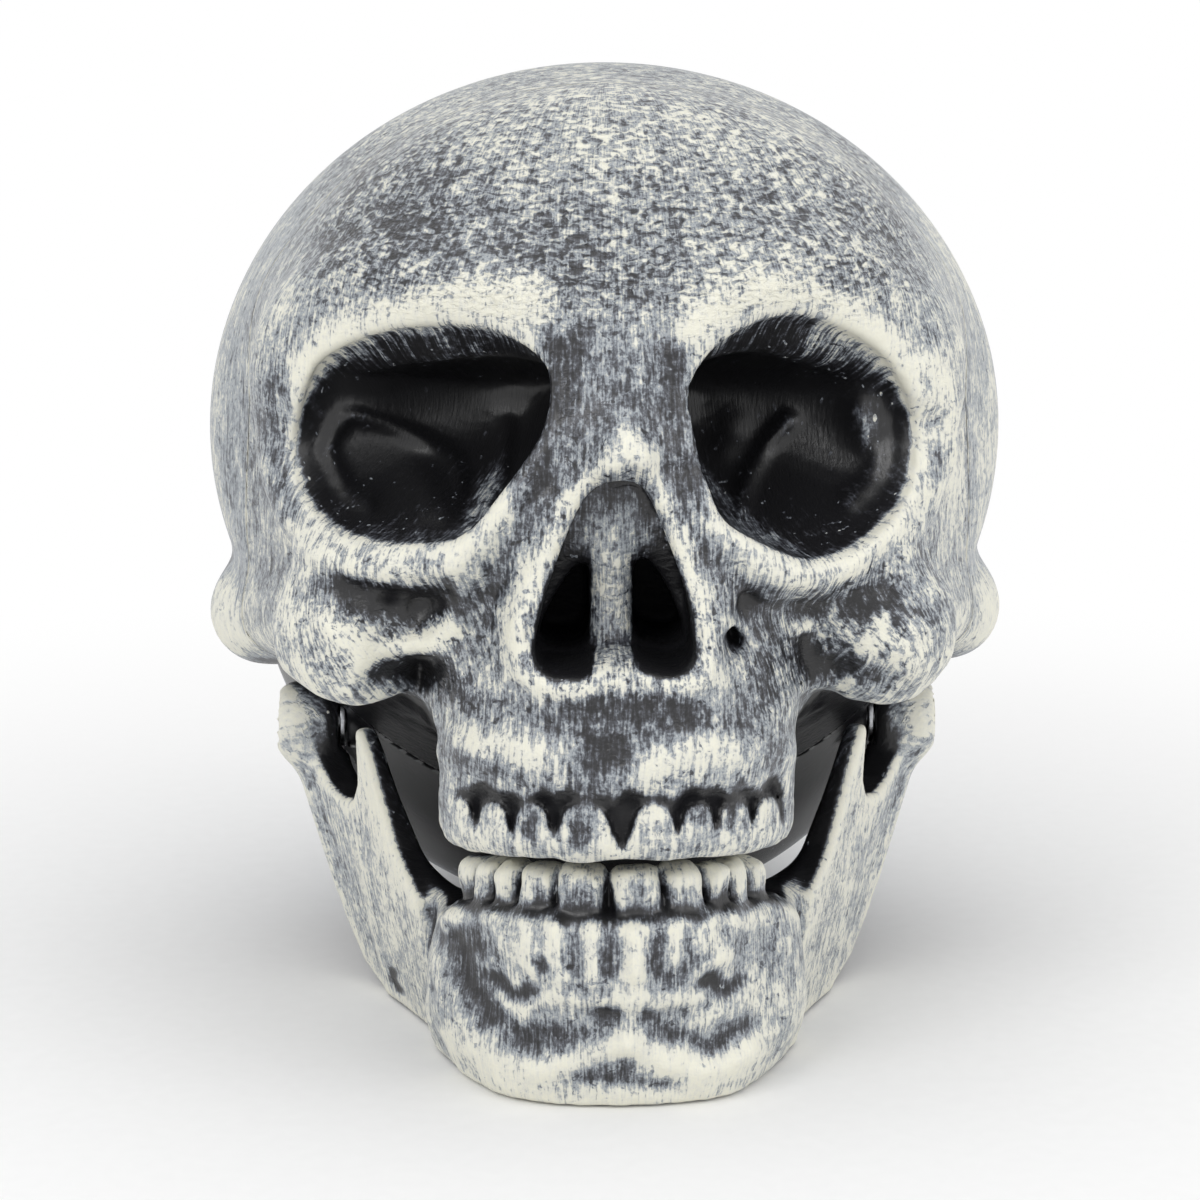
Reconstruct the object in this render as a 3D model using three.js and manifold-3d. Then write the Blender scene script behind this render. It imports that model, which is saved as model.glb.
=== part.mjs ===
// Hollow plastic skull decoration: a face shell and a cranium shell that lap at a coronal seam, and a
// lower jaw that swings on two shoulder screws under the roots of the cheekbone arches.
// Millimetres, +Z up. The face looks along -Y, and the skull stands on the jaw's lower border and the
// flat of its base.

import * as THREE from "three";
import { LoftGeometry } from "three/addons/geometries/LoftGeometry.js";
import { mergeVertices } from "three/addons/utils/BufferGeometryUtils.js";
import Module from "manifold-3d";

const wasm = await Module();
wasm.setup();

// Shells
const WALL = 2.4; // thickness of both shells
const CLEARANCE = 0.3; // gap between pieces that seat on each other
const SEAM_Y = -15; // coronal plane where the two shells part
const LIP_LENGTH = 4; // how far the face shell's lip runs into the cranium shell
const TABLE_Z = 0; // the skull stands on this plane

// Braincase
const VAULT_WIDTH = 146;
const VAULT_LENGTH = 160;
const VAULT_HEIGHT = 133;
const VAULT_CENTRE_Y = 10.5;
const VAULT_CENTRE_Z = 99.5;
const BASE_WIDTH = 124; // swelling of the skull's base, whose underside is the rear foot
const BASE_LENGTH = 98;
const BASE_CENTRE_Y = 36.5;
const BASE_CENTRE_Z = 58;
const BASE_FOOT_DROP = 2; // how far the swelling would reach below the table if it were not flat there
const BASE_BLEND = 24; // fillet between the swelling and the vault
const FOREHEAD_WIDTH = 108;
const FOREHEAD_LENGTH = 76;
const FOREHEAD_HEIGHT = 80;
const FOREHEAD_RISE = 10; // its middle above the middle of the eye sockets
const FOREHEAD_SET_BACK = 2; // its front behind the brow
const FOREHEAD_BLEND = 16;
const TEMPLE_WIDTH = 32; // the round hollow behind the outer corner of an eye socket
const TEMPLE_LENGTH = 60;
const TEMPLE_HEIGHT = 72;
const TEMPLE_DEPTH = 12; // how deep it cuts into the vault's widest line
const TEMPLE_FORWARD = 50; // its middle in front of the vault's
const TEMPLE_DROP = 8; // its middle below the eye sockets'
const TEMPLE_BLEND = 14;

// Eye sockets
const SOCKET_WIDTH = 40;
const SOCKET_HEIGHT = 35;
const SOCKET_DEPTH = 38;
const SOCKET_X = 32.5; // middle of the rim
const SOCKET_Z = 114;
const SOCKET_TURN = 0.45; // how far the socket runs inwards for each millimetre of depth
const SOCKET_SQUARENESS = 0.8; // 1 for an oval rim, less for a squarer one
const BROW_RADIUS = 7.5; // roll of the brow above the socket
const RIM_RADIUS = 5; // roll of the rim below the socket
const RIM_BLEND = 10;
const TEMPLE_LINE_BLEND = 14; // fillet of the line that runs back from the brow

// Middle of the face
const FACE_FRONT_Y = -72; // brow between the sockets
const FACE_LEAN = 0.26; // how far the face comes forward for each millimetre down
const FACE_CURVE = 0.0145; // how fast the face falls back towards the temples, per millimetre
const MIDFACE_WIDTH = 84; // rounded mass behind the nose and the cheeks
const MIDFACE_LENGTH = 72;
const MIDFACE_HEIGHT = 68;
const MIDFACE_PROUD = 6; // its front ahead of the brow
const MIDFACE_DROP = 24; // its middle below the eye sockets'
const MIDFACE_BLEND = 12;
const CHEEK_X = 45;
const CHEEK_Z = 78;
const CHEEK_RADIUS = 13;
const CHEEK_PROUD = 2; // how far the cheekbone stands out of the face
const CHEEK_BLEND = 9;
const CHEEK_HOLLOW_RADIUS = 9; // dip between the cheekbone and the nose
const CHEEK_HOLLOW_DEPTH = 4;
const CHEEK_HOLLOW_BLEND = 8;
const ARCH_RADIUS = 7; // cheekbone arch
const ARCH_BLEND = 7;
const ARCH_ROOT_INSET = 9.5; // rounded root of the arch, in from the vault's widest line
const ARCH_ROOT_Y = 0;
const ARCH_ROOT_Z = 67;
const ARCH_ROOT_RADIUS = 9.5;
const ARCH_ROOT_STRETCH = 1.3; // its length over its height
const ARCH_ROOT_BLEND = 4;

// Nose opening
const NOSE_WIDTH = 25;
const NOSE_HEIGHT = 33;
const NOSE_FOOT_Z = 77;
const NOSE_DEPTH = 9; // of the whole opening
const NOSTRIL_DEPTH = 24; // of the two lower pockets
const NOSTRIL_HEIGHT = 18; // of the two lower pockets
const NOSTRIL_MARGIN = 1.5; // step between the opening and its pockets
const SEPTUM_WIDTH = 4.5;
const NOSE_APEX_WIDTH = 9; // across the narrow top of the opening
const NOSE_BRIDGE_RADIUS = 9; // nose ridge where it leaves the brow
const NOSE_TIP_RADIUS = 5;
const NOSE_PILLAR_RADIUS = 5.5; // rounded edge beside the opening
const NOSE_BLEND = 6;

// Upper jaw and bite
const DENTAL_WIDTH = 60; // across the upper jaw
const DENTAL_FRONT_Y = -90;
const DENTAL_ROUND = 28; // how deep the curved front of a row of teeth is, before it runs straight back
const DENTAL_LENGTH = 46; // from the front teeth to behind the last tooth
const BITE_Z = 46.5; // middle of the gap between the two rows of teeth
const BITE_GAP = 0.8;
const UPPER_CROWN = 9; // height of a crown outside its gum
const LOWER_CROWN = 8;
const UPPER_TEETH = [10.5, 8.2, 7.6, 8.2, 9]; // widths from the middle outwards
const LOWER_TEETH = [8.4, 7.2, 7, 7.6, 8.4];
const TOOTH_DEPTH = 8;
const TOOTH_ROOTED = 3; // how far a crown is sunk into its gum
const CROWN_SQUARENESS = 0.65; // 1 for an oval crown, less for a squarer one
const CROWN_TAPER = 0.14; // how much narrower a crown is at its gum
const GUM_THICKNESS = 12; // how wide the upper gum is around the palate
const GUM_EDGE = 6; // rounding of the upper jaw
const MAXILLA_BLEND = 10;
const PALATE_RISE = 9;

// Lower jaw
const JAW_FRONT_Y = -82;
const JAW_HEIGHT_BACK = 28; // behind the last tooth
const JAW_THICKNESS = 12;
const CHIN_WIDTH = 63; // across the body halfway up, at the corners of the chin
const CHIN_ROUND = 14; // how far back the corner of the chin lies
const JAW_SPREAD = 2; // how far the jaw has spread halfway back from the chin's corner
const JAW_ANGLE_Y = -24; // where the lower border turns up into the ramus
const JAW_SQUARENESS = 0.5; // 1 for an oval section, less for a squarer one
const JAW_STEP_UP = [0.1, 0.22]; // shares of the way round between which the body rises to the tooth row
const JAW_LEAN = 0.2; // how far the front of the jaw leans out for each millimetre up
const JAW_SIDE_LEAN = 0.1; // how far its sides lean in for each millimetre up
const JAW_FOOT_DROP = 1.5; // how far its rounded lower border is cut back by the table
const CHIN_RELIEF = 2; // how far the chin stands out from the body
const CHIN_HEIGHT = 30;
const GUM_RIDGE = 14; // height of the ridge that the lower teeth stand in
const GUM_RIDGE_WIDTH = 9;
const GUM_LAP = 1; // how far the gums rise around the lower crowns
const LOWER_WIDTH = 56; // across the lower row of teeth
const RAMUS_LENGTH = 46; // along the plate from the hinge to the body
const RAMUS_THICKNESS = 7;
const RAMUS_BEVEL = 1.3;
const CORONOID_SHARE = 0.66; // how far along the plate the front process stands
const CORONOID_WIDTH = 7; // just below its tip
const RAMUS_FLARE = 0.42; // radians that the two rami open towards the back
const RAMUS_TILT = 0.2; // radians that the rami lean out towards the top
const CORONOID_HEIGHT = 6; // tip of the front process above the hinge
const NOTCH_DEPTH = 10; // saddle between the two processes, below the hinge

// Hinge
const HINGE_Y = -4;
const HINGE_Z = 47;
const HINGE_INSET = 25; // outer face of the cranium shell's boss, in from the vault's widest line
const HINGE_BOSS_RADIUS = 5.5;
const KNUCKLE_RADIUS = 6.5;
const KNUCKLE_LENGTH = 11;
const PIN_RADIUS = 2.5; // shoulder that the knuckle turns on
const PIN_CLEARANCE = 0.1;
const PIN_HEAD_RADIUS = 4.5;
const PIN_HEAD_HEIGHT = 2.6;
const PIN_HEAD_SUNK = 0.4; // how far the head lies below the knuckle's outer face
const PIN_THREAD_RADIUS = 1.6;
const PIN_THREAD_LENGTH = 11;
const FOSSA_CLEARANCE = 1.5; // around the knuckle in the cup that the cranium shell has for it
const WASHER_THICKNESS = 1;
const WASHER_RADIUS = 5;

// Screws that hold the shells together, driven from below behind the palate
const SCREW_X = 14;
const SCREW_FORWARD = 9; // in front of the seam
const SCREW_RADIUS = 1.6;
const SCREW_BITE = 8; // length of thread in the cranium shell's post
const SCREW_PAD_MARGIN = 1.4; // flat pad around the head
const SCREW_HEAD_RADIUS = 3.2;
const SCREW_HEAD_HEIGHT = 2.2;
const SCREW_BOSS_RADIUS = 4;

// How finely the curved forms are divided
const SKIN_AROUND = 62;
const SKIN_RINGS = 34;
const HOLLOW_AROUND = 26;
const HOLLOW_RINGS = 14;
const ROUND_STEPS = 16;

const SIDES = [
  { name: "left", sign: 1 }, // the skull's own left is on +X
  { name: "right", sign: -1 },
];

// Solids

/** A closed three.js geometry as a solid. */
function solid(geometry) {
  const bare = new THREE.BufferGeometry();
  bare.setAttribute("position", geometry.attributes.position);
  bare.setIndex(geometry.index);
  const welded = mergeVertices(bare, 1e-4);
  const corners = [...welded.index.array];
  const kept = [];
  for (let i = 0; i < corners.length; i += 3) {
    const [a, b, c] = corners.slice(i, i + 3);
    if (a !== b && b !== c && c !== a) kept.push(a, b, c);
  }
  const mesh = new wasm.Mesh({
    numProp: 3,
    vertProperties: welded.attributes.position.array,
    triVerts: new Uint32Array(kept),
  });
  return new wasm.Manifold(mesh);
}

/** A solid as a named mesh of one material. */
function pieceOf(name, made, material) {
  const { vertProperties, triVerts } = made.getMesh();
  const geometry = new THREE.BufferGeometry();
  geometry.setAttribute("position", new THREE.BufferAttribute(vertProperties, 3));
  geometry.setIndex(new THREE.BufferAttribute(triVerts, 1));
  geometry.computeVertexNormals();
  const mesh = new THREE.Mesh(geometry, material);
  mesh.name = name;
  return mesh;
}

/** A box between two corners. */
function block(low, high) {
  const size = high.map((h, i) => h - low[i]);
  const middle = high.map((h, i) => (h + low[i]) / 2);
  return solid(new THREE.BoxGeometry(...size).translate(...middle));
}

/** A round bar along X from one end to the other, at the hinge's height. */
function barAlongX(radius, from, to) {
  const bar = new THREE.CylinderGeometry(radius, radius, Math.abs(to - from), ROUND_STEPS);
  return solid(bar.rotateZ(Math.PI / 2).translate((from + to) / 2, HINGE_Y, HINGE_Z));
}

/** A round bar along Z. */
function barAlongZ(radius, x, y, from, to) {
  const bar = new THREE.CylinderGeometry(radius, radius, to - from, ROUND_STEPS);
  return solid(bar.rotateX(Math.PI / 2).translate(x, y, (from + to) / 2));
}

const FAR = 200; // well outside the skull on every side
const aboveTable = block([-FAR, -FAR, TABLE_Z], [FAR, FAR, FAR]);

// The skull's form, as distances from its skin: negative inside, positive outside, in millimetres

/** Distance to an ellipsoid. */
function ellipsoid(p, centre, radii) {
  const x = p.x - centre[0];
  const y = p.y - centre[1];
  const z = p.z - centre[2];
  const near = Math.hypot(x / radii[0], y / radii[1], z / radii[2]);
  const slope = Math.hypot(x / radii[0] ** 2, y / radii[1] ** 2, z / radii[2] ** 2);
  return slope > 0 ? (near * (near - 1)) / slope : -Math.min(...radii);
}

/** Distance to a round bar between two points, with a radius at each end. */
function bar(p, from, to, fromRadius, toRadius = fromRadius) {
  const along = to.map((t, i) => t - from[i]);
  const out = [p.x - from[0], p.y - from[1], p.z - from[2]];
  const length2 = along[0] ** 2 + along[1] ** 2 + along[2] ** 2;
  const dot = out[0] * along[0] + out[1] * along[1] + out[2] * along[2];
  const t = Math.min(1, Math.max(0, dot / length2));
  const off = Math.hypot(out[0] - along[0] * t, out[1] - along[1] * t, out[2] - along[2] * t);
  return off - (fromRadius + (toRadius - fromRadius) * t);
}

/** A sine or cosine flattened towards a rounded square as the power falls below one. */
function soften(v, power) {
  return Math.sign(v) * Math.abs(v) ** power;
}

/** Two forms joined with a fillet. */
function join(a, b, fillet) {
  const h = Math.max(fillet - Math.abs(a - b), 0) / fillet;
  return Math.min(a, b) - (h * h * fillet) / 4;
}

/** A form with another cut out of it, with a fillet. */
const carve = (a, b, fillet) => -join(-a, b, fillet);

/** How far forward the face lies beside the nose at a height, before its relief. */
function faceY(x, z) {
  const fall = FACE_CURVE * Math.max(0, Math.abs(x) - SOCKET_X / 3) ** 2;
  return FACE_FRONT_Y - FACE_LEAN * (SOCKET_Z + SOCKET_HEIGHT / 2 - z) + fall;
}

const HINGE_BOSS_X = VAULT_WIDTH / 2 - HINGE_INSET;
const ARCH_ROOT_X = VAULT_WIDTH / 2 - ARCH_ROOT_INSET;
const BASE_HEIGHT = 2 * (BASE_CENTRE_Z - TABLE_Z + BASE_FOOT_DROP);
const VAULT_RADII = [VAULT_WIDTH / 2, VAULT_LENGTH / 2, VAULT_HEIGHT / 2];
const VAULT_CENTRE = [0, VAULT_CENTRE_Y, VAULT_CENTRE_Z];
const BASE_RADII = [BASE_WIDTH / 2, BASE_LENGTH / 2, BASE_HEIGHT / 2];
const BASE_CENTRE = [0, BASE_CENTRE_Y, BASE_CENTRE_Z];
const TEMPLE_RADII = [TEMPLE_WIDTH / 2, TEMPLE_LENGTH / 2, TEMPLE_HEIGHT / 2];
const TEMPLE_CENTRE = [
  (VAULT_WIDTH + TEMPLE_WIDTH) / 2 - TEMPLE_DEPTH,
  VAULT_CENTRE_Y - TEMPLE_FORWARD,
  SOCKET_Z - TEMPLE_DROP,
];
const FOREHEAD_RADII = [FOREHEAD_WIDTH / 2, FOREHEAD_LENGTH / 2, FOREHEAD_HEIGHT / 2];
const FOREHEAD_CENTRE = [
  0,
  FACE_FRONT_Y + FOREHEAD_SET_BACK + FOREHEAD_LENGTH / 2,
  SOCKET_Z + FOREHEAD_RISE,
];
const MIDFACE_RADII = [MIDFACE_WIDTH / 2, MIDFACE_LENGTH / 2, MIDFACE_HEIGHT / 2];
const MIDFACE_CENTRE = [0, FACE_FRONT_Y - MIDFACE_PROUD + MIDFACE_LENGTH / 2, SOCKET_Z - MIDFACE_DROP];

/** The smooth braincase and middle of the face, which the hollow inside follows. */
function core(p) {
  const q = { x: Math.abs(p.x), y: p.y, z: p.z };
  let d = ellipsoid(q, VAULT_CENTRE, VAULT_RADII);
  d = join(d, ellipsoid(q, FOREHEAD_CENTRE, FOREHEAD_RADII), FOREHEAD_BLEND);
  d = carve(d, ellipsoid(q, TEMPLE_CENTRE, TEMPLE_RADII), TEMPLE_BLEND);
  d = join(d, ellipsoid(q, BASE_CENTRE, BASE_RADII), BASE_BLEND);
  return join(d, ellipsoid(q, MIDFACE_CENTRE, MIDFACE_RADII), MIDFACE_BLEND);
}

/** A place on the rim of an eye socket in the face, by the angle round it from its outer corner. */
function socketRim(angle, growX, growZ) {
  const x = SOCKET_X + (SOCKET_WIDTH / 2 + growX) * soften(Math.cos(angle), SOCKET_SQUARENESS);
  const z = SOCKET_Z + (SOCKET_HEIGHT / 2 + growZ) * soften(Math.sin(angle), SOCKET_SQUARENESS);
  return new THREE.Vector3(x, faceY(x, z), z);
}

/** The roll around an eye socket as a ring of points with a radius each, thick at the brow. */
function rimRoll(steps) {
  return Array.from({ length: steps }, (_, i) => {
    const angle = (2 * Math.PI * i) / steps;
    const radius = THREE.MathUtils.lerp(RIM_RADIUS, BROW_RADIUS, (1 + Math.sin(angle)) / 2);
    const { x, y, z } = socketRim(angle, radius / 4, radius / 2);
    return { centre: [x, y + radius, z], radius };
  });
}

const RIM = rimRoll(14);

const DENTAL_CENTRE_Y = DENTAL_FRONT_Y + DENTAL_LENGTH;
const GUM_Z = BITE_Z + BITE_GAP / 2 + UPPER_CROWN; // underside of the upper gum
const MAXILLA_TOP_Z = NOSE_FOOT_Z + WALL;
const CHEEK_Y = faceY(CHEEK_X, CHEEK_Z) + CHEEK_RADIUS - CHEEK_PROUD;
const NOSE_TOP_Z = NOSE_FOOT_Z + NOSE_HEIGHT;
const BROW_Y = FACE_FRONT_Y + NOSE_BRIDGE_RADIUS;

/** The upper jaw: an upright block with a half-round front and a rounded edge. */
function maxilla(q) {
  const ahead = Math.min(0, q.y - DENTAL_FRONT_Y - DENTAL_ROUND);
  const across = Math.hypot(q.x / (DENTAL_WIDTH / 2), ahead / DENTAL_ROUND);
  const plan = Math.max((across - 1) * (DENTAL_WIDTH / 2), q.y - DENTAL_CENTRE_Y) + GUM_EDGE;
  const middle = (GUM_Z + MAXILLA_TOP_Z) / 2;
  const tall = Math.abs(q.z - middle) - (MAXILLA_TOP_Z - GUM_Z) / 2 + GUM_EDGE;
  return Math.hypot(Math.max(plan, 0), Math.max(tall, 0)) + Math.min(Math.max(plan, tall), 0) - GUM_EDGE;
}

/** The outer skin, with brows, socket rims, cheekbones, nose ridge and upper jaw on the core. */
function skin(p) {
  const q = { x: Math.abs(p.x), y: p.y, z: p.z };
  const cheek = [CHEEK_X, CHEEK_Y, CHEEK_Z];
  const root = [ARCH_ROOT_X, ARCH_ROOT_Y, ARCH_ROOT_Z];
  const outerX = SOCKET_X + SOCKET_WIDTH / 2 - BROW_RADIUS / 2;
  const templeFront = [outerX, faceY(outerX, SOCKET_Z) + 2 * BROW_RADIUS, SOCKET_Z + BROW_RADIUS];
  const templeBack = [outerX, SEAM_Y - BROW_RADIUS / 2, SOCKET_Z + BROW_RADIUS];
  const bridgeTop = [0, BROW_Y, SOCKET_Z + FOREHEAD_RISE];
  const tipY = faceY(0, NOSE_TOP_Z) + NOSE_TIP_RADIUS - NOSE_BLEND;
  const bridgeTip = [0, tipY, NOSE_TOP_Z + NOSE_TIP_RADIUS / 2];
  const pillarTopX = NOSE_APEX_WIDTH / 2 + NOSE_PILLAR_RADIUS / 2;
  const pillarTop = [pillarTopX, faceY(pillarTopX, NOSE_TOP_Z) + NOSE_PILLAR_RADIUS, NOSE_TOP_Z];
  const pillarX = NOSE_WIDTH / 2 + NOSE_PILLAR_RADIUS / 2;
  const pillarFoot = [pillarX, faceY(pillarX, NOSE_FOOT_Z) + NOSE_PILLAR_RADIUS, NOSE_FOOT_Z];
  const dipX = pillarX + NOSE_PILLAR_RADIUS / 2 + CHEEK_HOLLOW_RADIUS;
  const dipY = faceY(dipX, NOSE_FOOT_Z) + CHEEK_HOLLOW_DEPTH - CHEEK_HOLLOW_RADIUS;
  const dip = [dipX, dipY, NOSE_FOOT_Z];

  let d = core(p);
  d = join(d, maxilla(q), MAXILLA_BLEND);
  d = join(d, ellipsoid(q, cheek, [CHEEK_RADIUS, CHEEK_RADIUS, CHEEK_RADIUS]), CHEEK_BLEND);
  d = join(d, bar(q, cheek, root, ARCH_RADIUS), ARCH_BLEND);
  const rootRadii = [ARCH_ROOT_RADIUS, ARCH_ROOT_RADIUS * ARCH_ROOT_STRETCH, ARCH_ROOT_RADIUS];
  d = join(d, ellipsoid(q, root, rootRadii), ARCH_ROOT_BLEND);
  const roll = RIM.map((end, i) => {
    const start = RIM.at(i - 1);
    return bar(q, start.centre, end.centre, start.radius, end.radius);
  });
  d = join(d, Math.min(...roll), RIM_BLEND);
  d = join(d, bar(q, templeFront, templeBack, BROW_RADIUS), TEMPLE_LINE_BLEND);
  d = join(d, bar(q, bridgeTop, bridgeTip, NOSE_BRIDGE_RADIUS, NOSE_TIP_RADIUS), NOSE_BLEND);
  d = join(d, bar(q, pillarTop, pillarFoot, NOSE_PILLAR_RADIUS), NOSE_BLEND);
  const dipRadii = [CHEEK_HOLLOW_RADIUS, CHEEK_HOLLOW_RADIUS, CHEEK_HOLLOW_RADIUS];
  return carve(d, ellipsoid(q, dip, dipRadii), CHEEK_HOLLOW_BLEND);
}

/** Where a ray from a point leaves a form, in millimetres along it. */
function reach(form, from, way) {
  const at = (r) => form({ x: from.x + way.x * r, y: from.y + way.y * r, z: from.z + way.z * r });
  const step = 1.5;
  let outside = FAR;
  while (outside > step && at(outside - step) > 0) outside -= step;
  let inside = outside - step;
  for (let i = 0; i < 16; i++) {
    const middle = (inside + outside) / 2;
    if (at(middle) > 0) outside = middle;
    else inside = middle;
  }
  return (inside + outside) / 2;
}

const HEART = new THREE.Vector3(0, SEAM_Y / 2, SOCKET_Z - MIDFACE_DROP); // all of the skin is seen from here
const RING_BIAS = 1.3; // 1 for even rings, more for rings that lie closer together over the face

/** A form skinned by a globe whose poles lie front and back, with its rings closer together over the face. */
function wrap(form, around, rings) {
  const globe = new THREE.SphereGeometry(1, around, rings);
  const at = globe.attributes.position;
  for (let i = 0; i < at.count; i++) {
    const fromFront = Math.acos(Math.min(1, Math.max(-1, -at.getY(i))));
    const angle = Math.PI * (fromFront / Math.PI) ** RING_BIAS;
    const turn = Math.atan2(at.getZ(i), at.getX(i));
    const level = Math.sin(angle);
    const way = new THREE.Vector3(level * Math.cos(turn), -Math.cos(angle), level * Math.sin(turn));
    const place = way.clone().multiplyScalar(reach(form, HEART, way)).add(HEART);
    at.setXYZ(i, place.x, place.y, place.z);
  }

  // Each square is split along the diagonal that lies closer to the form.
  const off = (i, j) => {
    const middle = new THREE.Vector3().fromBufferAttribute(at, i);
    middle.lerp(new THREE.Vector3().fromBufferAttribute(at, j), 0.5);
    return Math.abs(form(middle));
  };
  const corners = globe.index.array;
  const poleRing = 3 * around;
  for (let i = poleRing; i < corners.length - poleRing; i += 6) {
    const [a, b, d, , c] = corners.slice(i, i + 6);
    if (off(a, c) < off(b, d)) corners.set([a, b, c, a, c, d], i);
  }
  return solid(globe);
}

/** The form set in by a distance. */
const inset = (form, by) => (p) => form(p) + by;

/** An eye socket: a loft from the curved rim to a blunt end nearer the middle, grown by a wall. */
function socket(sign, grow = 0) {
  const around = 16;
  const steps = 5;
  const proud = BROW_RADIUS + RIM_RADIUS; // how far the cutter stands out of the face
  const flat = 0.03; // leaves the bowl a small flat at its end
  const endX = SOCKET_X - SOCKET_TURN * SOCKET_DEPTH;
  const endY = faceY(SOCKET_X, SOCKET_Z) + SOCKET_DEPTH + grow;
  const sections = [];
  for (let i = -1; i <= steps; i++) {
    const inwards = Math.max(0, i) / steps;
    const narrow = Math.sqrt(1 + flat - inwards ** 2);
    const middleX = THREE.MathUtils.lerp(SOCKET_X, endX, inwards);
    const ring = [];
    for (let j = 0; j < around; j++) {
      const rim = socketRim((2 * Math.PI * j) / around, grow, grow);
      const x = middleX + (rim.x - SOCKET_X) * narrow;
      const y = THREE.MathUtils.lerp(rim.y, endY, inwards) - (i < 0 ? proud : 0);
      const z = SOCKET_Z + (rim.z - SOCKET_Z) * narrow;
      ring.push(new THREE.Vector3(sign * x, y, z));
    }
    sections.push(sign > 0 ? ring.reverse() : ring);
  }
  return solid(new LoftGeometry(sections, { capStart: true, capEnd: true }));
}

/** The outline of the nose opening, pear-shaped with a heart-shaped foot, grown all round. */
function noseOutline(grow) {
  const half = NOSE_WIDTH / 2 + grow;
  const apex = NOSE_APEX_WIDTH / 2 + grow / 2;
  const foot = NOSE_FOOT_Z - grow;
  const top = NOSE_TOP_Z + grow;
  const bend = NOSE_HEIGHT / 4;
  const dip = SEPTUM_WIDTH / 3;
  const heel = half * 0.9; // where the foot turns up into the side
  const belly = half * 1.15; // pulls the side out to the full width
  const shoulder = half * 0.75; // pulls the side in to the apex
  const outline = new THREE.Shape();
  outline.moveTo(0, foot + dip);
  outline.quadraticCurveTo(half / 2, foot - dip, heel, foot + dip);
  outline.bezierCurveTo(belly, foot + bend, shoulder, top - bend, apex, top - dip);
  outline.quadraticCurveTo(0, top + dip, -apex, top - dip);
  outline.bezierCurveTo(-shoulder, top - bend, -belly, foot + bend, -heel, foot + dip);
  outline.quadraticCurveTo(-half / 2, foot - dip, 0, foot + dip);
  return outline;
}

/** The nose opening as a cutter: a shallow pear and two deep pockets beside the septum, grown by a wall. */
function noseCutter(grow = 0) {
  const face = faceY(0, NOSE_FOOT_Z) + NOSE_PILLAR_RADIUS;
  const front = face - NOSTRIL_DEPTH;
  const through = (outline, depth) => {
    const made = new THREE.ExtrudeGeometry(outline, { depth, bevelEnabled: false, curveSegments: 6 });
    return solid(made.rotateX(Math.PI / 2).translate(0, front + depth, 0));
  };
  const opening = through(noseOutline(grow), NOSTRIL_DEPTH + NOSE_DEPTH + grow);
  const deep = through(noseOutline(grow - NOSTRIL_MARGIN), 2 * NOSTRIL_DEPTH + grow);
  const above = block([-FAR, -FAR, NOSE_FOOT_Z + NOSTRIL_HEIGHT + grow], [FAR, FAR, FAR]);
  const pockets = deep.subtract(above);
  if (grow > 0) return opening.add(pockets);
  const septum = block([-SEPTUM_WIDTH / 2, face + NOSE_DEPTH / 2, 0], [SEPTUM_WIDTH / 2, FAR, FAR]);
  return opening.add(pockets).subtract(septum);
}

// Teeth

/** A crown: a block with rounded sides, narrower towards the gum, its biting edge at the height given. */
function crown(width, depth, height, biteZ, upwards) {
  const made = new THREE.SphereGeometry(1, 8, 4).rotateX(Math.PI / 2);
  const at = made.attributes.position;
  for (let i = 0; i < at.count; i++) {
    const up = (1 + soften(at.getZ(i), CROWN_SQUARENESS)) / 2;
    const waist = 1 - CROWN_TAPER * up;
    const x = (soften(at.getX(i), CROWN_SQUARENESS) * width * waist) / 2;
    const y = (soften(at.getY(i), CROWN_SQUARENESS) * depth * waist) / 2;
    at.setXYZ(i, x, y, up * height);
  }
  if (!upwards) made.rotateX(Math.PI);
  return made.translate(0, 0, biteZ);
}

/** One half of a row of teeth in plan: a quarter round from the middle, then straight back. */
function dentalArch(halfWidth, frontY) {
  const arch = new THREE.Path();
  arch.absellipse(0, frontY + DENTAL_ROUND, halfWidth, DENTAL_ROUND, -Math.PI / 2, 0);
  arch.lineTo(halfWidth, frontY + 2 * DENTAL_LENGTH);
  return arch;
}

/** The ridge of gum that a row of teeth stands in, from one last tooth round to the other. */
function gumRidge(length, halfWidth, frontY, lowZ, highZ) {
  const arch = dentalArch(halfWidth, frontY);
  const steps = 8;
  const around = 8;
  const sections = [];
  for (let i = steps; i >= -steps; i--) {
    const share = ((Math.abs(i) / steps) * length) / arch.getLength();
    const place = arch.getPoint(share);
    const way = arch.getTangent(share);
    const ring = [];
    for (let j = 0; j < around; j++) {
      const turn = (2 * Math.PI * j) / around;
      const out = (GUM_RIDGE_WIDTH / 2) * soften(Math.cos(turn), CROWN_SQUARENESS);
      const z = (lowZ + highZ) / 2 + ((highZ - lowZ) / 2) * soften(Math.sin(turn), CROWN_SQUARENESS);
      const x = place.x + way.y * out;
      ring.push(new THREE.Vector3(i < 0 ? -x : x, place.y - way.x * out, z));
    }
    sections.push(ring);
  }
  return solid(new LoftGeometry(sections, { capStart: true, capEnd: true }));
}

/** A row of crowns on both sides of an arch, from the middle outwards. */
function toothRow(widths, halfWidth, frontY, biteZ, height, upwards) {
  const arch = dentalArch(halfWidth, frontY);
  const length = arch.getLength();
  const teeth = [];
  for (const { sign } of SIDES) {
    let along = 0;
    for (const width of widths) {
      const share = (along + width / 2) / length;
      const place = arch.getPoint(share);
      const way = arch.getTangent(share);
      const tooth = crown(width, TOOTH_DEPTH, height, biteZ, upwards);
      tooth.rotateZ(sign * Math.atan2(way.y, way.x)).translate(sign * place.x, place.y, 0);
      teeth.push(solid(tooth));
      along += width;
    }
  }
  return teeth.reduce((row, tooth) => row.add(tooth));
}

// Shells

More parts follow.
